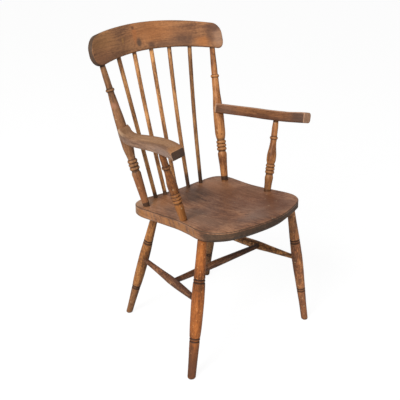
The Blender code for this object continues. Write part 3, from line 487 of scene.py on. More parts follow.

# each leg has its own colours, wear and girth, and painted shade on one side; radii are (distance from
# the floor, radius)
leg = {
    "front_right": {
        "foot": (-0.2446, -0.2212), "entry": (-0.1780, -0.1912, 0.4178), "grooves": (0.1228, 0.3020),
        "radii": ((0.024, 0.0126), (0.060, 0.0134), (0.085, 0.0142), (0.122, 0.0153),
                  (0.158, 0.0173), (0.194, 0.0181), (0.238, 0.0186), (0.270, 0.0182),
                  (0.302, 0.0169), (0.345, 0.0153)),
        "ends": (0.0120, 0.0130), "tone": 0.92, "shade": -0.25,
        "look": {"seed": 1.3, "deep": (112, 66, 34), "middle": (168, 96, 46), "light": (202, 120, 58),
                 "speckShare": 0.45, "speckScale": 120.0, "speckTone": (244, 172, 104),
                 "markShare": 0.08, "markScale": 90.0, "smudgeTone": (98, 64, 36),
                 "speckAmount": 0.6, "mix": (0.24, 0.22, 0.34, 0.20),
                 "smudges": ((46.0, 0.60, 0.28), (120.0, 0.50, 0.22)),
                 "patches": (((0.0, 0.0, 0.050), (0.2, 0.2, 0.066), (128, 82, 54), 0.70, 0.8, 0.6),
                             ((0.0, 0.0, 0.018), (0.2, 0.2, 0.030), (112, 72, 54), 0.60, 0.8, 0.6))},
    },
    "front_left": {
        "foot": (0.2422, -0.2210), "entry": (0.1758, -0.1912, 0.4178), "grooves": (0.1198, 0.3002),
        "radii": ((0.024, 0.0110), (0.061, 0.0115), (0.097, 0.0127), (0.120, 0.0138),
                  (0.158, 0.0150), (0.194, 0.0163), (0.236, 0.0170), (0.267, 0.0165),
                  (0.303, 0.0157), (0.339, 0.0142), (0.376, 0.0128)),
        "ends": (0.0104, 0.0115), "tone": 1.40, "shade": -0.30,
        "look": {"seed": 2.1, "deep": (104, 66, 44), "middle": (158, 100, 64), "light": (200, 138, 84),
                 "patches": (((0.0, 0.0, 1.750), (0.2, 0.2, 0.075), (138, 86, 60), 0.60, 0.8, 0.6),
                             ((0.0, 0.0, 2.090), (0.2, 0.2, 0.050), (196, 138, 86), 0.50, 0.8, 0.6)),
                 "markShare": 0.30, "markScale": 88.0, "speckShare": 0.14, "speckScale": 95.0,
                 "smudgeTone": (84, 60, 46), "smudges": ((52.0, 0.85, 0.60), (120.0, 0.80, 0.50))},
    },
    "rear_right": {
        "foot": (-0.1732, 0.1900), "entry": (-0.1432, 0.0708, 0.3895), "grooves": (0.1183, 0.3058),
        "radii": ((0.024, 0.0107), (0.060, 0.0116), (0.096, 0.0129), (0.118, 0.0137),
                  (0.144, 0.0152), (0.180, 0.0162), (0.238, 0.0165), (0.264, 0.0162),
                  (0.288, 0.0153), (0.306, 0.0146), (0.336, 0.0134), (0.372, 0.0123)),
        "ends": (0.0102, 0.0112), "tone": 0.89, "shade": 0.40,
        "look": {"seed": 3.4, "deep": (112, 74, 44), "middle": (166, 106, 58), "light": (206, 142, 80),
                 "markShare": 0.10, "markScale": 90.0, "speckShare": 0.12,
                 "smudges": ((38.0, 0.40, 0.30), (110.0, 0.45, 0.25)),
                 "patches": (((0.0, 0.0, 3.440), (0.2, 0.2, 0.070), (136, 100, 74), 0.60, 0.8, 0.6),)},
    },
    "rear_left": {
        "foot": (0.1931, 0.2152), "entry": (0.1158, 0.0879, 0.3879), "grooves": (0.1183, 0.3034),
        "radii": ((0.024, 0.0100), (0.060, 0.0106), (0.096, 0.0114), (0.118, 0.0121),
                  (0.144, 0.0134), (0.180, 0.0145), (0.238, 0.0150), (0.264, 0.0148),
                  (0.288, 0.0144), (0.306, 0.0138), (0.336, 0.0128), (0.372, 0.0120)),
        "ends": (0.0096, 0.0110), "tone": 1.40, "shade": 0.15,
        "look": {"seed": 4.6, "deep": (72, 48, 30), "middle": (110, 74, 44), "light": (142, 100, 60),
                 "markShare": 0.20, "markScale": 90.0},
    },
    "groovePitch": 0.0088, "grooveDepth": 0.0020, "grooveHalf": {"front": 0.0030, "rear": 0.0035},
    "sway": 0.0010,
}


def makeLeg(name, seed):
    spot = leg[name]
    foot, entry = Vector((*spot["foot"], 0.0)), Vector(spot["entry"])
    length = (entry - foot).length
    knots = [(-0.012, spot["ends"][0]), *spot["radii"], (length + 0.006, spot["ends"][1])]
    half = leg["groovePitch"] / 2
    grooves = [(centre + side * half, leg["grooveDepth"], leg["grooveHalf"][name.split("_")[0]])
               for centre in spot["grooves"] for side in (-1, 1)]
    marks = [(centre, half * 1.1, 0.42) for centre in spot["grooves"]]
    marks.append((length + 0.004, 0.010, 0.6))

    def toneAt(s):   # darker in the seat's shade and a little at the foot
        shaded, clear = ease(s / length, 0.86, 1.0), ease(s, 0.0, 0.12)
        return spot["tone"] * (1 - 0.22 * shaded) * (0.92 + 0.08 * clear)

    turnedPiece("leg_%s_turned" % name, "leg_" + name,
                woodMaterial("legStain_" + name, dict(orangeStain, **spot["look"])), foot, entry,
                knots, grooves=grooves, marks=marks, sway=leg["sway"], seed=seed, foot=True,
                toneAt=toneAt, shade=spot["shade"])


for i, name in enumerate(("front_right", "front_left", "rear_right", "rear_left")):
    makeLeg(name, 1.7 * i)
print("legs turned")

stretcher = {
    "right": ((-0.15805, 0.11244, 0.22424), (-0.20427, -0.19507, 0.23436)),
    "left": ((0.15289, 0.13136, 0.22222), (0.20338, -0.19508, 0.23248)),
    "cross": ((-0.18201, -0.06398, 0.23018), (0.17991, -0.06085, 0.23115)),
    "radii": {
        "right": ((0.0, 0.0074), (0.037, 0.0081), (0.062, 0.0087), (0.100, 0.0098), (0.137, 0.0112),
                  (0.165, 0.0124), (0.200, 0.0122), (0.224, 0.0115), (0.249, 0.0104),
                  (0.275, 0.0092), (0.312, 0.0076)),
        "left": ((0.0, 0.0074), (0.040, 0.0088), (0.090, 0.0112), (0.140, 0.0133), (0.180, 0.0139),
                 (0.208, 0.0129), (0.233, 0.0112), (0.257, 0.0100), (0.282, 0.0090),
                 (0.306, 0.0078), (0.331, 0.0070)),
        "cross": ((0.0, 0.0080), (0.036, 0.0088), (0.060, 0.0094), (0.100, 0.0106), (0.140, 0.0114),
                  (0.169, 0.0116), (0.205, 0.0109), (0.240, 0.0102), (0.277, 0.0095),
                  (0.302, 0.0089), (0.362, 0.0078)),
    },
    "tone": {"right": (1.34, 0.80), "left": (1.75, 1.90), "cross": (0.71, 0.74)},   # at both ends
}
for k, (label, wood) in enumerate((("right", stretcherWood), ("left", goldenWood),
                                   ("cross", stretcherWood))):
    start, end = (Vector(p) for p in stretcher[label])
    length = (end - start).length
    first, last = stretcher["tone"][label]
    turnedPiece("stretcher_%s_turned" % label, "stretcher_" + label, wood,
                start, end, stretcher["radii"][label],
                marks=((0.012, 0.014, 0.5), (length - 0.012, 0.014, 0.5)), seed=7.0 + k,
                toneAt=lambda s: first + (last - first) * ease(s, length * 0.25, length * 0.70))
print("stretchers turned")

post = {
    "right": ((-0.16172, 0.08787, 0.41965), (-0.21350, 0.21410, 0.83820)),
    "left": ((0.16088, 0.08917, 0.41891), (0.21165, 0.21480, 0.83496)),
    "beadPitch": 0.0112,
    "firstBead": {"right": 0.1222, "left": 0.1057}, "beadRadius": {"right": 0.0153, "left": 0.0160},
    "vale": {"right": 0.0116, "left": 0.0122}, "ring": {"right": 0.3642, "left": 0.3430},
    "ringRadius": {"right": 0.0131, "left": 0.0139}, "ringHalf": 0.0048,
    "ringDip": 0.0036,
    "radii": {
        "right": ((-0.008, 0.0092), (0.011, 0.0104), (0.060, 0.0125), (0.098, 0.0139), (0.1035, 0.0143),
                  (0.1090, 0.0133), (0.1120, 0.0117), (0.1510, 0.0116), (0.1565, 0.0121),
                  (0.1640, 0.0131), (0.1740, 0.0147), (0.1885, 0.0163), (0.2205, 0.0165),
                  (0.2525, 0.0153), (0.2810, 0.0145), (0.2930, 0.0138), (0.3060, 0.0128),
                  (0.3180, 0.0123), (0.3420, 0.0108), (0.3550, 0.0098), (0.3700, 0.0099),
                  (0.3775, 0.0094), (0.3910, 0.0094), (0.4160, 0.0089), (0.4360, 0.0083),
                  (0.4520, 0.0080)),
        "left": ((-0.008, 0.0100), (0.011, 0.0112), (0.024, 0.0117), (0.049, 0.0125), (0.073, 0.0140),
                 (0.0880, 0.0150), (0.0925, 0.0142), (0.0960, 0.0124), (0.1345, 0.0123),
                 (0.1385, 0.0138), (0.1430, 0.0149), (0.1505, 0.0161), (0.1580, 0.0168),
                 (0.1760, 0.0170), (0.2070, 0.0171), (0.2300, 0.0165), (0.2550, 0.0148),
                 (0.2670, 0.0138), (0.2800, 0.0128), (0.2920, 0.0121), (0.3160, 0.0116),
                 (0.3360, 0.0110), (0.3500, 0.0102), (0.3770, 0.0100), (0.4010, 0.0092),
                 (0.4300, 0.0086), (0.4500, 0.0084)),
    },
    # (along, half length, strength) of dark marks, and (along, tone) of lighter and darker stretches
    "marks": {"right": ((0.004, 0.009, 0.95), (0.1128, 0.0024, 0.60), (0.2425, 0.020, 0.25)),
              "left": ((0.0088, 0.0075, 1.0), (0.0982, 0.0022, 0.80), (0.1368, 0.0050, 0.45))},
    "tones": {"right": ((0.0, 0.88), (0.150, 0.88), (0.168, 0.75), (0.300, 0.78), (0.355, 0.85),
                        (0.380, 0.77), (0.452, 0.76)),
              "left": ((0.0, 0.60), (0.0095, 0.55), (0.0130, 0.72), (0.0200, 1.04), (0.090, 1.02),
                       (0.098, 0.90), (0.134, 0.88), (0.152, 1.04), (0.452, 1.08))},
    # painted shade on one side of each post
    "shade": {"right": 0.18, "left": -0.16},
}
for side, label, wood in ((-1, "right", nearPostWood), (1, "left", postWood)):
    start, end = (Vector(p) for p in post[label])
    length = (end - start).length
    beads = [(post["firstBead"][label] + i * post["beadPitch"], post["beadRadius"][label],
              post["beadPitch"] / 2, post["vale"][label]) for i in range(3)]
    beads.append((post["ring"][label], post["ringRadius"][label], post["ringHalf"],
                  post["ringRadius"][label] - post["ringDip"]))
    turnedPiece("back_post_%s_turned" % label, "back_post_" + label, wood, start, end,
                post["radii"][label], beads=beads,
                marks=(*post["marks"][label], (length - 0.001, 0.007, 0.75)), seed=11.0 + side,
                toneAt=curveThrough(post["tones"][label]), shade=post["shade"][label])
print("posts turned")

spindle = {
    "lines": (((-0.09422, 0.13092, 0.41496), (-0.13722, 0.24122, 0.84613)),
              ((-0.05642, 0.13072, 0.41513), (-0.06862, 0.25643, 0.85019)),
              ((-0.01092, 0.13092, 0.41520), (-0.00042, 0.26117, 0.85115)),
              ((0.03668, 0.12822, 0.41546), (0.06638, 0.25611, 0.84914)),
              ((0.09418, 0.13372, 0.41476), (0.13758, 0.24059, 0.84401))),
    "radius": 0.0064, "footRadius": 0.0062, "topRadius": 0.0066,
    "bow": (0.0020, 0.0035, 0.0035, 0.0040, 0.0040),
    "sway": (0.0014, -0.0012, -0.0006, -0.0014, -0.0006),   # each one is bent a little to one side
    "darkFoot": (0.020, 0.016, 0.034, 0.050, 0.046),   # how far the dirt climbs each spindle
    "tone": (0.94, 1.25, 1.22, 1.07, 0.79),
}
for i, (start, end) in enumerate(spindle["lines"]):
    length = (Vector(end) - Vector(start)).length
    knots = [(-0.008, spindle["footRadius"]), (0.012, spindle["footRadius"]),
             (length * 0.22, spindle["radius"]), (length * 0.70, spindle["radius"]),
             (length * 0.90, spindle["topRadius"]), (length + 0.010, spindle["topRadius"])]
    climb = spindle["darkFoot"][i]
    turnedPiece("spindle_%d_turned" % (i + 1), "spindle_%d" % (i + 1), spindleWood,
                start, end, knots, marks=((0.0, climb, 0.85), (length, 0.010, 0.7)),
                bow=spindle["bow"][i], sway=spindle["sway"][i], seed=17.0 + 2.3 * i,
                toneAt=lambda s: spindle["tone"][i] * (0.82 + 0.18 * ease(s / length, 0.05, 0.65)))
print("spindles turned")

support = {
    "right": ((-0.16942, -0.09978, 0.44011), (-0.22459, -0.07215, 0.65116)),
    "left": ((0.16828, -0.09948, 0.44000), (0.22337, -0.07184, 0.65116)),
    "beadPitch": 0.0100, "beadRadius": 0.0142, "vale": 0.0113, "firstBead": 0.0590,
    "ring": 0.1655, "ringRadius": 0.0125, "ringHalf": 0.0044, "ringDip": 0.0030,
    "rise": {"right": 0.0055, "left": 0.0},   # the right one's turning sits higher
    "lowRadii": ((-0.008, 0.0104), (0.010, 0.0110), (0.024, 0.0116)),
    "topRadii": ((-0.006, 0.0084), (0.010, 0.0080)),   # counted from the upper end
    "radii": ((0.0420, 0.0130), (0.0450, 0.0126), (0.0490, 0.0114), (0.0850, 0.0115),
              (0.0880, 0.0124), (0.0930, 0.0140), (0.0980, 0.0145), (0.1100, 0.0145),
              (0.1220, 0.0132), (0.1340, 0.0113), (0.1470, 0.0099), (0.1530, 0.0094),
              (0.1590, 0.0099), (0.1720, 0.0098), (0.1800, 0.0095), (0.1960, 0.0095)),
    "tones": {"right": ((0.0, 0.92), (0.060, 0.92), (0.095, 0.76), (0.140, 0.70), (0.225, 0.70)),
              "left": ((0.0, 0.58), (0.032, 0.60), (0.044, 0.78), (0.078, 0.86), (0.092, 0.90),
                       (0.130, 1.00), (0.225, 1.04))},
    # painted shade on one side of each support
    "shade": {"right": 0.10, "left": -0.30},
}
for side, label, wood in ((-1, "right", nearSupportWood), (1, "left", postWood)):
    start, end = (Vector(p) for p in support[label])
    length = (end - start).length
    rise = support["rise"][label]
    beads = [(support["firstBead"] + rise + i * support["beadPitch"], support["beadRadius"],
              support["beadPitch"] / 2, support["vale"]) for i in range(3)]
    beads.append((support["ring"] + rise, support["ringRadius"], support["ringHalf"],
                  support["ringRadius"] - support["ringDip"]))
    knots = list(support["lowRadii"])
    knots += [(s + rise, radius) for s, radius in support["radii"]]
    knots += [(length + s, radius) for s, radius in support["topRadii"]]
    turnedPiece("arm_support_%s_turned" % label, "arm_support_" + label, wood,
                start, end, knots, beads=beads,
                marks=((0.0, 0.005, 0.6), (length, 0.008, 0.6), (0.0515 + rise, 0.0020, 0.55)),
                seed=31.0 + side, toneAt=curveThrough(support["tones"][label]),
                shade=support["shade"][label])
print("arm supports turned")

# Seat: a saddled plank with rounded, worn edges

seat = {
    "topZ": 0.4284, "fall": 0.108, "thick": 0.0322, "dish": 0.013, "dishY": -0.070,
    "ridge": 0.006, "edge": 0.0036, "chamfer": 0.004, "chamferFront": 0.013, "around": 400,
    "darkFront": (0.175, 0.245), "sawPitch": 150, "sawSlant": 0.012,
    "plan": (
        (0.0, 0.137), (-0.072, 0.143), (-0.128, 0.147), (-0.161, 0.135), (-0.179, 0.109),
        (-0.1845, 0.075), (-0.183, 0.020), (-0.182, -0.035), (-0.181, -0.090), (-0.186, -0.145),
        (-0.1925, -0.190), (-0.1895, -0.229), (-0.174, -0.260), (-0.146, -0.281),
        (-0.098, -0.294), (-0.045, -0.300), (0.0, -0.300), (0.048, -0.293), (0.095, -0.278),
        (0.137, -0.259), (0.170, -0.237), (0.189, -0.206), (0.1945, -0.168), (0.190, -0.115),
        (0.185, -0.060), (0.185, -0.015), (0.190, 0.035), (0.1955, 0.080), (0.1955, 0.109),
        (0.184, 0.135), (0.158, 0.148), (0.110, 0.147), (0.050, 0.140)),
}
seatLook = {
    "seed": 2.2, "deep": (96, 60, 40), "middle": (137, 91, 63), "light": (176, 125, 90),
    "poreTone": (80, 52, 38), "wornTone": (186, 124, 66), "dirtTone": (62, 51, 39),
    "speckTone": (186, 158, 130), "smudgeTone": (86, 60, 46), "mix": (0.24, 0.22, 0.34, 0.20),
    "streakScale": 250.0, "bandScale": 120.0, "along": 0.030, "pores": 0.28, "rough": 0.42,
    "wear": 0.80, "speckShare": 0.05, "markShare": 0.05, "markScale": 60.0, "specular": 0.34,
    "smudges": ((14.0, 0.50, 0.30), (60.0, 0.45, 0.30)),
    "patches": (
        ((0.110, 0.0, -0.110), (0.085, 0.2, 0.120), (132, 84, 57), 0.45, 0.8, 0.8),
        ((0.125, 0.0, 0.062), (0.060, 0.2, 0.080), (176, 124, 88), 0.70, 0.9, 0.8),
        ((0.033, 0.0, 0.080), (0.036, 0.2, 0.046), (80, 60, 49), 0.84, 1.2, 0.8),
        ((-0.012, 0.0, 0.045), (0.030, 0.2, 0.042), (84, 68, 58), 0.72, 1.2, 0.8),
        ((-0.073, 0.0, -0.067), (0.022, 0.2, 0.038), (86, 66, 54), 0.72, 1.2, 0.8),
        ((-0.110, 0.0, 0.080), (0.050, 0.2, 0.060), (164, 110, 70), 0.70, 0.9, 0.7),
        ((-0.150, 0.0, 0.112), (0.034, 0.2, 0.028), (204, 162, 122), 0.62, 0.9, 0.8),
        ((-0.130, 0.0, -0.120), (0.050, 0.2, 0.120), (158, 118, 92), 0.65, 0.9, 0.8),
        # painted sheen: this pale grey patch at the front middle stands in for the finish's reflection
        ((-0.008, 0.0, -0.240), (0.052, 0.2, 0.030), (152, 124, 108), 0.68, 1.1, 0.9),
        ((0.070, 0.0, -0.200), (0.060, 0.2, 0.070), (118, 76, 52), 0.60, 0.9, 0.8),
        ((0.040, 0.0, -0.085), (0.045, 0.2, 0.050), (114, 72, 50), 0.60, 0.9, 0.8),
        ((0.150, 0.0, -0.080), (0.035, 0.2, 0.050), (144, 100, 70), 0.50, 0.9, 0.8),
        ((0.095, 0.0, -0.010), (0.040, 0.2, 0.040), (116, 73, 48), 0.60, 0.9, 0.8),
        ((-0.050, 0.0, -0.160), (0.030, 0.2, 0.060), (120, 80, 58), 0.45, 0.9, 0.8),
        ((0.075, 0.0, -0.245), (0.060, 0.2, 0.032), (102, 63, 43), 0.65, 0.9, 0.8),
        ((0.118, 0.0, -0.180), (0.030, 0.2, 0.050), (108, 66, 42), 0.55, 0.9, 0.8),
        ((-0.040, 0.0, -0.070), (0.030, 0.2, 0.030), (160, 118, 94), 0.45, 1.0, 0.8),
    ),
}


def makeSeat():
    around = seat["around"]
    rim = [roundPath(seat["plan"], i / around, closed=True) for i in range(around)]
    centre = Vector((0.0, seat["dishY"]))
    shares = (0.0, 0.05, 0.11, 0.18, 0.25, 0.32, 0.39, 0.46, 0.53, 0.60, 0.66, 0.72, 0.78, 0.83,
              0.88, 0.92, 0.95)
    rings = [("top", share, 0.0, 0.0) for share in shares]
    for i in range(7):   # rounded upper edge
        turn = math.pi / 12 * i
        inset, drop = 1 - math.sin(turn), 1 - math.cos(turn)
        rings.append(("arc", 1.0, seat["edge"] * inset, seat["edge"] * drop))
    rings += [("side", 1.0, 0.0, f) for f in (0.15, 0.40, 0.65, 0.90, 1.0)]
    rings += [("low", 1.0, f, 1.0) for f in (0.12, 0.5, 0.88, 1.0)]
    rings += [("under", share, 1.0, 1.0) for share in (0.90, 0.70, 0.40, 0.0)]

    def place(i, k):
        kind, share, inset, drop = rings[k]
        point = rim[i % around]
        inward = (centre - point).normalized()
        ahead = ease(-point.y, 0.22, 0.275)
        chamfer = seat["chamfer"] + (seat["chamferFront"] - seat["chamfer"]) * ahead
        worn, grime = 0.05, 0.0
        flat = centre + (point - centre) * share
        if kind == "top":
            hollow = seat["dish"] * (1 - ease(share, 0.30, 0.93))
            ridge = seat["ridge"] * math.exp(-(flat.x / 0.035) ** 2) * ease(-flat.y, 0.09, 0.23)
            deep = max(hollow - ridge * (1 - ease(share, 0.80, 1.0)), 0.0)
        elif kind == "arc":   # a dark line runs round the upper edge
            flat += inward * inset
            deep = drop
            grime = 0.95 * math.sin(math.pi * min(drop / seat["edge"] * 1.05, 1.0))
        elif kind == "side":
            deep = seat["edge"] + (seat["thick"] - chamfer - seat["edge"]) * drop
        else:
            flat += inward * chamfer * inset
            deep = seat["thick"] - (chamfer * (1 - inset) if kind == "low" else 0.0)
        z = seat["topZ"] - seat["fall"] * flat.y - deep
        z += 0.0006 * noise.noise(Vector((flat.x * 14, flat.y * 14, 0.5 if kind == "top" else 3.0)))
        tone = 1.0
        if kind in ("side", "low"):   # the front edge is darker, the sides show old saw marks
            front = ease(-point.y, *seat["darkFront"])
            slant = Vector((point.x, point.y + seat["sawSlant"] * drop, 0.03)) * seat["sawPitch"]
            saw = ease(noise.noise(slant), -0.15, 0.35)
            worn = (0.56 - 0.34 * saw) * (1 - front) * (1 - 0.4 * ease(inset, 0.0, 1.0))
            grime = max(0.80 * front, 0.34 * saw * (1 - front))
            tone = 0.94 + 0.14 * front - 0.12 * ease(inset, 0.0, 1.0)
            tone -= 0.14 * ease(-point.y, 0.04, 0.16) * (1 - front)
        if kind == "under":
            grime, tone = 0.35, 0.85
        co = Vector((flat.x, flat.y, z)) + middle
        return co, Vector((flat.x, z - 0.43, flat.y)), worn, grime, tone

    bm = bmesh.new()
    sweepGrid(bm, around, len(rings) - 1, place)
    finishPiece(bm, "seat_plank", "seat", woodMaterial("seatStain", seatLook), 50.0)


makeSeat()
print("seat shaped")

# Crest rail: a bent board with rounded ends

crest = {
    "rightEnd": -0.2570, "leftEnd": 0.2455, "radius": 0.525, "middleY": 0.2515, "refZ": 0.848,
    "rake": 0.300, "lowZ": 0.8486, "lowPeak": -0.012, "lowBow": 0.32, "topZ": 0.9300,
    "topPeak": -0.045, "topBow": 0.30, "thick": 0.0190, "thickEnd": 0.0145,
    "topCorners": ((0.037, 0.036), (0.024, 0.030)), "lowCorners": ((0.050, 0.049), (0.018, 0.028)),
    "stations": 120, "endRound": 0.0032, "edgeRound": 0.0046,
}
crestLook = {
    "seed": 6.6, "deep": (120, 84, 60), "middle": (162, 113, 77), "light": (196, 138, 92),
    "poreTone": (86, 58, 42), "wornTone": (190, 146, 112), "dirtTone": (64, 54, 46),
    "speckTone": (200, 156, 112), "smudgeTone": (102, 74, 54), "mix": (0.28, 0.22, 0.26, 0.24),
    "streakScale": 300.0, "bandScale": 90.0, "along": 0.05, "pores": 0.30, "rough": 0.43,
    "wear": 0.5, "speckShare": 0.04, "markShare": 0.06,
    "smudges": ((30.0, 0.36, 0.30), (90.0, 0.50, 0.35)),
    "patches": (
        ((0.0, 0.900, 0.010), (0.2, 0.034, 0.085), (190, 120, 66), 0.65, 1.1, 0.7),
        ((0.0, 0.874, -0.118), (0.2, 0.026, 0.050), (122, 86, 58), 0.50, 1.3, 0.7),
        ((0.0, 0.898, -0.061), (0.2, 0.028, 0.008), (192, 118, 66), 0.60, 1.2, 0.6),
        ((0.0, 0.873, -0.049), (0.2, 0.012, 0.009), (78, 66, 58), 0.85, 1.2, 0.6),
        ((0.0, 0.917, -0.064), (0.2, 0.005, 0.006), (84, 58, 44), 0.75, 1.0, 0.5),
        ((0.0, 0.862, -0.003), (0.2, 0.007, 0.012), (84, 62, 52), 0.75, 1.2, 0.6),
        ((0.0, 0.857, 0.045), (0.2, 0.010, 0.040), (104, 74, 58), 0.60, 1.3, 0.7),
        ((0.0, 0.862, 0.116), (0.2, 0.020, 0.040), (98, 72, 60), 0.78, 1.3, 0.7),
        ((0.0, 0.892, 0.130), (0.2, 0.020, 0.050), (120, 80, 58), 0.45, 1.2, 0.7),
        ((0.0, 0.855, 0.180), (0.2, 0.014, 0.024), (194, 124, 70), 0.80, 1.6, 0.6),
        ((0.0, 0.868, 0.234), (0.2, 0.032, 0.018), (170, 136, 114), 0.62, 1.8, 0.8),
        ((0.0, 0.894, 0.218), (0.2, 0.012, 0.030), (86, 60, 52), 0.80, 1.3, 0.6),
        ((0.0, 0.868, 0.208), (0.2, 0.020, 0.010), (96, 70, 60), 0.60, 1.8, 0.9),
        ((0.0, 0.850, -0.215), (0.2, 0.034, 0.040), (144, 96, 68), 0.55, 1.2, 0.7),
        ((0.0, 0.845, -0.160), (0.2, 0.012, 0.050), (106, 74, 58), 0.60, 1.2, 0.7),
        ((0.0, 0.905, -0.205), (0.2, 0.030, 0.050), (176, 124, 74), 0.60, 1.1, 0.7),
        ((0.0, 0.887, -0.114), (0.2, 0.008, 0.004), (188, 134, 74), 0.60, 1.0, 0.6),
    ),
}


def roundedSection(wide, deep, radii, arc=5, straight=5):   # (across, down) points round a board
    centres = ((radii[0], radii[0], 180), (wide - radii[1], radii[1], 270),
               (wide - radii[2], deep - radii[2], 0), (radii[3], deep - radii[3], 90))
    points = []
    for radius, (across, down, angle) in zip(radii, centres):
        turns = [math.radians(angle + 90 * i / arc) for i in range(arc + 1)]
        corner = [(across + radius * math.cos(turn), down + radius * math.sin(turn)) for turn in turns]
        if points:
            points += [(points[-1][0] + (corner[0][0] - points[-1][0]) * i / straight,
                        points[-1][1] + (corner[0][1] - points[-1][1]) * i / straight)
                       for i in range(1, straight)]
        points += corner
    last, first = points[-1], points[0]
    points += [(last[0] + (first[0] - last[0]) * i / straight,
                last[1] + (first[1] - last[1]) * i / straight) for i in range(1, straight)]
    return points


def cornerDrop(near, corner):
    wide, high = corner
    if near >= wide:
        return 0.0
    rest = (wide - near) / wide
    return high * (1 - math.sqrt(max(1 - rest * rest, 0.0)))


def makeCrest():
    stations = crest["stations"]
    soft = crest["endRound"]
    xs = []
    for i in range(stations + 1):
        f = -math.cos(math.pi * i / stations)
        f = 0.35 * f + 0.65 * math.copysign(1 - (1 - abs(f)) ** 1.6, f)
        xs.append(f * (crest["leftEnd"] if f > 0 else -crest["rightEnd"]))
    caps = [(1, soft * (1 - math.sin(math.radians(a))), soft * (1 - math.cos(math.radians(a))))
            for a in (0, 30, 60, 90)]
    inside = [x for x in xs if crest["rightEnd"] + soft < x < crest["leftEnd"] - soft]
    rows = [(xs[0], c[1], c[2], 0) for c in reversed(caps)] + [(x, 0.0, 0.0, 1) for x in inside]
    rows += [(xs[-1], c[1], c[2], 2) for c in caps]
    count = len(roundedSection(1, 1, (0.1,) * 4))

    def place(i, k):
        x, back, shrink, part = rows[k]
        end = crest["leftEnd"] if x > 0 else crest["rightEnd"]
        if part != 1:   # the last rings run out over the rounded end
            x -= math.copysign(back, x)
        near = abs(end) - abs(x)
        top = crest["topZ"] - crest["topBow"] * (x - crest["topPeak"]) ** 2
        top -= cornerDrop(near, crest["topCorners"][x > 0])
        low = crest["lowZ"] - crest["lowBow"] * (x - crest["lowPeak"]) ** 2
        low += cornerDrop(near, crest["lowCorners"][x > 0])
        thick = crest["thick"] + (crest["thickEnd"] - crest["thick"]) * (x / end) ** 2
        edge = min(crest["edgeRound"], thick * 0.33, (top - low) * 0.4)
        section = roundedSection(top - low - 2 * shrink, thick - 2 * shrink,
                                 (max(edge - shrink, 0.0008),) * 4)
        up, depth = section[i % count]
        z = low + shrink + up
        bend = crest["radius"] - math.sqrt(crest["radius"] ** 2 - x * x)
        slope = x / math.sqrt(crest["radius"] ** 2 - x * x)
        outward = Vector((slope, 1.0, -crest["rake"])).normalized()
        offset = depth + shrink - thick / 2
        y = crest["middleY"] - bend + crest["rake"] * (z - crest["refZ"])
        co = Vector((x, y, z)) + outward * offset
        co += outward * 0.0005 * noise.noise(Vector((x * 20, z * 20, 1.0)))
        rim = 1 - ease(min(up, top - low - 2 * shrink - up), 0.0006, 0.0042)
        tip = 1 - ease(near, 0.030, 0.060)
        early = 0.0030 * tip if x < 0 else 0.0
        edgeOn = ease(offset + thick / 2 + early, 0.0004, 0.0040)   # 0 on the front face, 1 on the rim
        grime = rim * edgeOn * (0.45 + 0.45 * tip if x < 0 else 0.45)
        grime = max(grime, 0.30 * rim)
        worn = 0.04 + (0.35 * rim * (1 - edgeOn) * tip if x > 0 else 0.0)
        return co + middle, Vector((offset, z, x)), worn, grime, 1.0

    bm = bmesh.new()
    sweepGrid(bm, count, len(rows) - 1, place)
    finishPiece(bm, "crest_board", "crest_rail",
                woodMaterial("crestStain", crestLook), 50.0)


makeCrest()
print("crest bent")

# Arms: sawn boards whose outer upper edge is worn round

arm = {
    "planeZ": 0.7281, "tilt": 0.25, "rise": 0.1269, "thick": 0.0305, "belly": (0.0014, 0.0),
    "tipThick": (0.0245, 0.0275), "tipRise": (0.0010, 0.0045), "tipRound": (0.0022, 0.0032),
    "tipShort": (0.14, 0.03), "tipDirt": (1.0, 0.0), "sag": (-0.0005, 0.0005),
    "radii": (0.0035, 0.0080, 0.0035, 0.0035),
    "tipRadii": ((0.0030, 0.0042, 0.0034, 0.0032), (0.0040, 0.0095, 0.0095, 0.0045)),
    "stations": 84, "edgeSteps": 12,
    "inner": ((0.1740, 0.1410), (0.1850, 0.1150), (0.1990, 0.0860), (0.2085, 0.0550),
              (0.2110, 0.0230), (0.2080, -0.0130), (0.2065, -0.0470), (0.2070, -0.0800),
              (0.2105, -0.1140), (0.2180, -0.1480), (0.2250, -0.1700), (0.2320, -0.1880)),
    "outer": ((0.2130, 0.1410), (0.2235, 0.1160), (0.2325, 0.0850), (0.2380, 0.0530),
              (0.2395, 0.0220), (0.2400, -0.0130), (0.2410, -0.0470), (0.2440, -0.0800),
              (0.2490, -0.1140), (0.2570, -0.1450), (0.2640, -0.1660), (0.2700, -0.1820)),
}
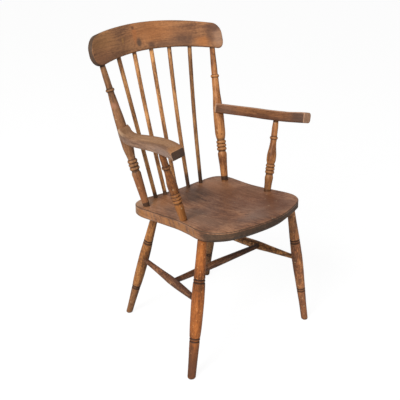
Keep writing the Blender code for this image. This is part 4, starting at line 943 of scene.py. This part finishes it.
armLook = {
    "seed": 9.4, "deep": (112, 80, 60), "middle": (144, 106, 80), "light": (168, 128, 98),
    "poreTone": (92, 66, 50), "wornTone": (200, 162, 126), "dirtTone": (50, 40, 36),
    "speckTone": (190, 162, 132), "smudgeTone": (96, 68, 52), "mix": (0.32, 0.26, 0.26, 0.16),
    "streakScale": 330.0, "bandScale": 110.0, "along": 0.04, "pores": 0.30, "rough": 0.48,
    "wear": 0.75, "speckShare": 0.03, "markShare": 0.04,
    "smudges": ((34.0, 0.45, 0.35), (110.0, 0.45, 0.25)),
    "patches": (
        ((0.0, 0.016, 0.17), (0.010, 0.05, 0.5), (126, 84, 56), 0.85, 0.5, 0.5),
        ((0.0, 0.018, 0.28), (0.010, 0.014, 0.05), (92, 64, 48), 0.65, 1.2, 0.6),
        ((-0.022, 0.0, 0.045), (0.016, 0.012, 0.022), (108, 78, 56), 0.75, 1.2, 0.6),
        ((-0.026, 0.0, 0.322), (0.020, 0.008, 0.022), (160, 106, 60), 0.80, 1.0, 0.6),
        ((-0.034, 0.004, 0.17), (0.0045, 0.004, 0.170), (92, 68, 52), 0.60, 1.0, 0.6),
        ((-0.038, 0.020, 0.27), (0.010, 0.014, 0.060), (176, 150, 136), 0.55, 1.0, 0.7),
        ((-0.018, -0.003, 0.17), (0.022, 0.006, 0.160), (158, 118, 78), 0.50, 0.9, 0.7),
        ((-0.038, 0.022, 0.12), (0.010, 0.012, 0.130), (150, 120, 102), 0.45, 1.0, 0.7),
    ),
}
leftArmLook = dict(armLook, seed=4.2, deep=(78, 49, 32), middle=(115, 73, 45), light=(147, 98, 64),
                   smudges=((34.0, 0.75, 0.50), (110.0, 0.70, 0.40)), smudgeTone=(78, 54, 38),
                   wornTone=(204, 158, 126), patches=(
                       ((0.0, 0.016, 0.316), (0.008, 0.024, 0.024), (72, 50, 40), 0.80, 1.0, 0.6),
                       ((0.0, 0.022, 0.045), (0.012, 0.012, 0.045), (92, 62, 42), 0.65, 1.2, 0.6),
                       ((0.0, 0.008, 0.140), (0.012, 0.010, 0.080), (156, 104, 64), 0.55, 1.2, 0.6),
                       ((0.0, 0.026, 0.180), (0.012, 0.007, 0.120), (98, 64, 48), 0.60, 1.2, 0.6)))


def makeArm(side, label, material):
    stations = arm["stations"]
    normal = Vector((side * arm["tilt"], arm["rise"], 1.0)).normalized()
    soft = arm["tipRound"][side > 0]
    outer = [Vector(p) for p in arm["outer"]]
    inner = [Vector(p) for p in arm["inner"]]
    for line in (outer, inner):   # each arm ends a little short of the drawn outline
        line[-1] = line[-1].lerp(line[-2], arm["tipShort"][side > 0])
    angles = (0, 18, 36, 54, 72, 90)
    rows = [(i / stations, 0.0, 0.0) for i in range(stations)]
    rows += [(1.0, soft * (1 - math.cos(math.radians(a))), soft * math.sin(math.radians(a)))
             for a in angles]
    rows.append((1.0, soft + 0.006, soft))
    count = len(roundedSection(1, 1, (0.1,) * 4, straight=arm["edgeSteps"]))
    reach = [0.0]
    for i in range(stations):
        step = roundPath(outer, (i + 1) / stations) - roundPath(outer, i / stations)
        reach.append(reach[-1] + step.length)
    whole = reach[-1]

    def place(i, k):
        t, shrink, ahead = rows[k]
        a, b = roundPath(inner, t), roundPath(outer, t)
        ends = [Vector((side * p.x, p.y, arm["planeZ"] - arm["tilt"] * p.x - arm["rise"] * p.y))
                for p in (a, b)]
        across = (ends[1] - ends[0]).normalized()
        wide = (ends[1] - ends[0]).length
        tip = ease(t, 0.70, 1.0)
        mid = math.sin(math.pi * t)
        lift = arm["tipRise"][side > 0] * tip - arm["sag"][side > 0] * mid
        deep = arm["thick"] + (arm["tipThick"][side > 0] - arm["thick"]) * tip
        deep += arm["tipRise"][side > 0] * tip + arm["belly"][side > 0] * mid
        radii = [max(r + (sharp - r) * ease(t, 0.80, 1.0) - shrink * 0.4, 0.0012)
                 for r, sharp in zip(arm["radii"], arm["tipRadii"][side > 0])]
        section = roundedSection(wide - 2 * shrink, deep - 2 * shrink, radii,
                                 straight=arm["edgeSteps"])
        acrossBy, down = section[i % count]
        forward = across.cross(normal) * side
        if forward.y > 0:
            forward = -forward
        s = reach[min(int(t * stations), stations)] + ahead
        co = ends[0] + across * (acrossBy + shrink) - normal * (down + shrink - lift)
        co += forward * (ahead - soft)
        co += normal * 0.0006 * noise.noise(Vector((acrossBy * 20, s * 18, 2.0 + side)))
        topOut = ease(acrossBy, wide - 0.010, wide - 0.004) * (1 - ease(down, 0.006, 0.012))
        topIn = (1 - ease(acrossBy, 0.0005, 0.0045)) * (1 - ease(down, 0.001, 0.0045))
        lowOut = ease(acrossBy, wide - 0.005, wide - 0.001) * ease(down, deep - 0.0045, deep - 0.001)
        nearTip = ease(s, whole - 0.035, whole - 0.004)
        back = 1 - ease(s, 0.03, 0.10)
        worn = 0.06
        if side < 0:
            worn = max(worn, topOut * (0.12 + 0.50 * back + 0.15 * nearTip),
                       topIn * (0.20 + 0.65 * math.exp(-((s - 0.10) / 0.05) ** 2)),
                       lowOut * (0.15 + 0.70 * (1 - ease(s, 0.12, 0.22)) + 0.4 * nearTip))
        else:
            worn = max(worn, topIn * (0.75 + 0.2 * nearTip), 0.25 * topOut, 0.2 * lowOut,
                       0.50 * (1 - ease(down, 0.001, 0.004)))
        grime = 0.15 * ease(down, deep - 0.003, deep) * (1 - lowOut)
        face = ease(shrink, soft * 0.35, soft * 0.9) if t >= 1.0 else 0.0
        if t >= 1.0:
            rimWear = 0.85 if side > 0 else 0.35
            worn = max(worn, rimWear * (1 - face) * ease(ahead, 0.0, soft * 0.5))
        if face > 0.0:
            worn = worn * (1 - face) + (0.72 * face if side > 0 else 0.0)
            grime = max(grime, face * arm["tipDirt"][side > 0])
        if s < 0.004:   # the cut back end shows bare wood at its corner
            worn = 0.8
        return co + middle, Vector((side * acrossBy, down, s)), worn, grime, 1.0

    bm = bmesh.new()
    sweepGrid(bm, count, len(rows) - 1, place)
    finishPiece(bm, "arm_%s_board" % label, "arm_" + label, material, 50.0)


makeArm(-1, "right", woodMaterial("armStain", armLook))
makeArm(1, "left", woodMaterial("leftArmStain", leftArmLook))
print("arms sawn")

# Studio: pale floor, one big soft lamp, one weak fill and a white surround

studio = {
    "keyPlace": (-3.0, -1.0, 2.8), "keyPower": 130.0, "keySize": 1.8,
    "fillPlace": (1.8, -2.8, 1.2), "fillPower": 10.0, "fillSize": 2.0,
    "aim": (0.0, 0.0, 0.45), "surround": 0.42,
    "floorGlow": 0.90, "floorShade": 0.55, "floorShadow": 0.16,
}
photoView = {   # the photograph's viewing angle and framing
    "turn": -40.4968, "rise": 23.2222, "aim": (0.0167, 0.04672, 0.4026), "distance": 2.3063,
    "lens": 65.7,
}


def seenDirectly(tree):   # 1 where the camera looks at the backdrop
    rays = put(tree, "ShaderNodeLightPath")
    return sumOf(tree, rays.outputs["Is Camera Ray"], rays.outputs["Is Transmission Ray"], "MAXIMUM")


def makeStudio():
    bm = bmesh.new()
    bmesh.ops.create_grid(bm, x_segments=1, y_segments=1, size=14.0)
    mesh = bpy.data.meshes.new("floor")
    bm.to_mesh(mesh)
    bm.free()
    floor = bpy.data.objects.new("floor", mesh)
    bpy.context.scene.collection.objects.link(floor)
    paper = bpy.data.materials.new("paper")
    paper.use_nodes = True
    tree = paper.node_tree
    tree.nodes.clear()
    plain = put(tree, "ShaderNodeBsdfDiffuse", {"Color": (studio["floorShade"],) * 3 + (1.0,)})
    faint = put(tree, "ShaderNodeBsdfDiffuse", {"Color": (studio["floorShadow"],) * 3 + (1.0,)})
    glow = put(tree, "ShaderNodeEmission", {"Color": (1.0, 1.0, 1.0, 1.0),
                                            "Strength": studio["floorGlow"]})
    both = put(tree, "ShaderNodeAddShader", {0: faint.outputs[0], 1: glow.outputs[0]})
    mixed = put(tree, "ShaderNodeMixShader", {0: seenDirectly(tree), 1: plain.outputs[0],
                                              2: both.outputs[0]})
    put(tree, "ShaderNodeOutputMaterial", {"Surface": mixed.outputs[0]})
    mesh.materials.append(paper)

    world = bpy.data.worlds.new("surround")
    world.use_nodes = True
    bpy.context.scene.world = world
    tree = world.node_tree
    strength = rangeOf(tree, seenDirectly(tree), 0.0, 1.0, (studio["surround"], 1.0))
    back = tree.nodes["Background"]
    back.inputs["Color"].default_value = (1.0, 1.0, 1.0, 1.0)
    tree.links.new(strength, back.inputs["Strength"])

    for name in ("key", "fill"):
        lamp = bpy.data.lights.new(name, "AREA")
        lamp.shape = "DISK"
        lamp.size = studio[name + "Size"]
        lamp.energy = studio[name + "Power"]
        lampObject = bpy.data.objects.new(name, lamp)
        place = Vector(studio[name + "Place"])
        lampObject.location = place
        towards = Vector(studio["aim"]) - place
        lampObject.rotation_euler = towards.to_track_quat("-Z", "Y").to_euler()
        bpy.context.scene.collection.objects.link(lampObject)


def makeCamera():
    turn, rise = math.radians(photoView["turn"]), math.radians(photoView["rise"])
    back = Vector((math.sin(turn) * math.cos(rise), -math.cos(turn) * math.cos(rise), math.sin(rise)))
    right = Vector((math.cos(turn), math.sin(turn), 0.0))
    up = back.cross(right)
    place = Vector(photoView["aim"]) + back * photoView["distance"]
    camera = bpy.data.cameras.new("camera")
    camera.sensor_width = 36.0
    camera.lens = photoView["lens"]
    camera.clip_end = 60.0
    cameraObject = bpy.data.objects.new("camera", camera)
    bpy.context.scene.collection.objects.link(cameraObject)
    cameraObject.matrix_world = Matrix((
        (right.x, up.x, back.x, place.x), (right.y, up.y, back.y, place.y),
        (right.z, up.z, back.z, place.z), (0.0, 0.0, 0.0, 1.0)))
    bpy.context.scene.camera = cameraObject


makeStudio()
makeCamera()
bpy.context.scene.view_settings.view_transform = "Standard"
print("studio lit")

bpy.context.view_layer.update()
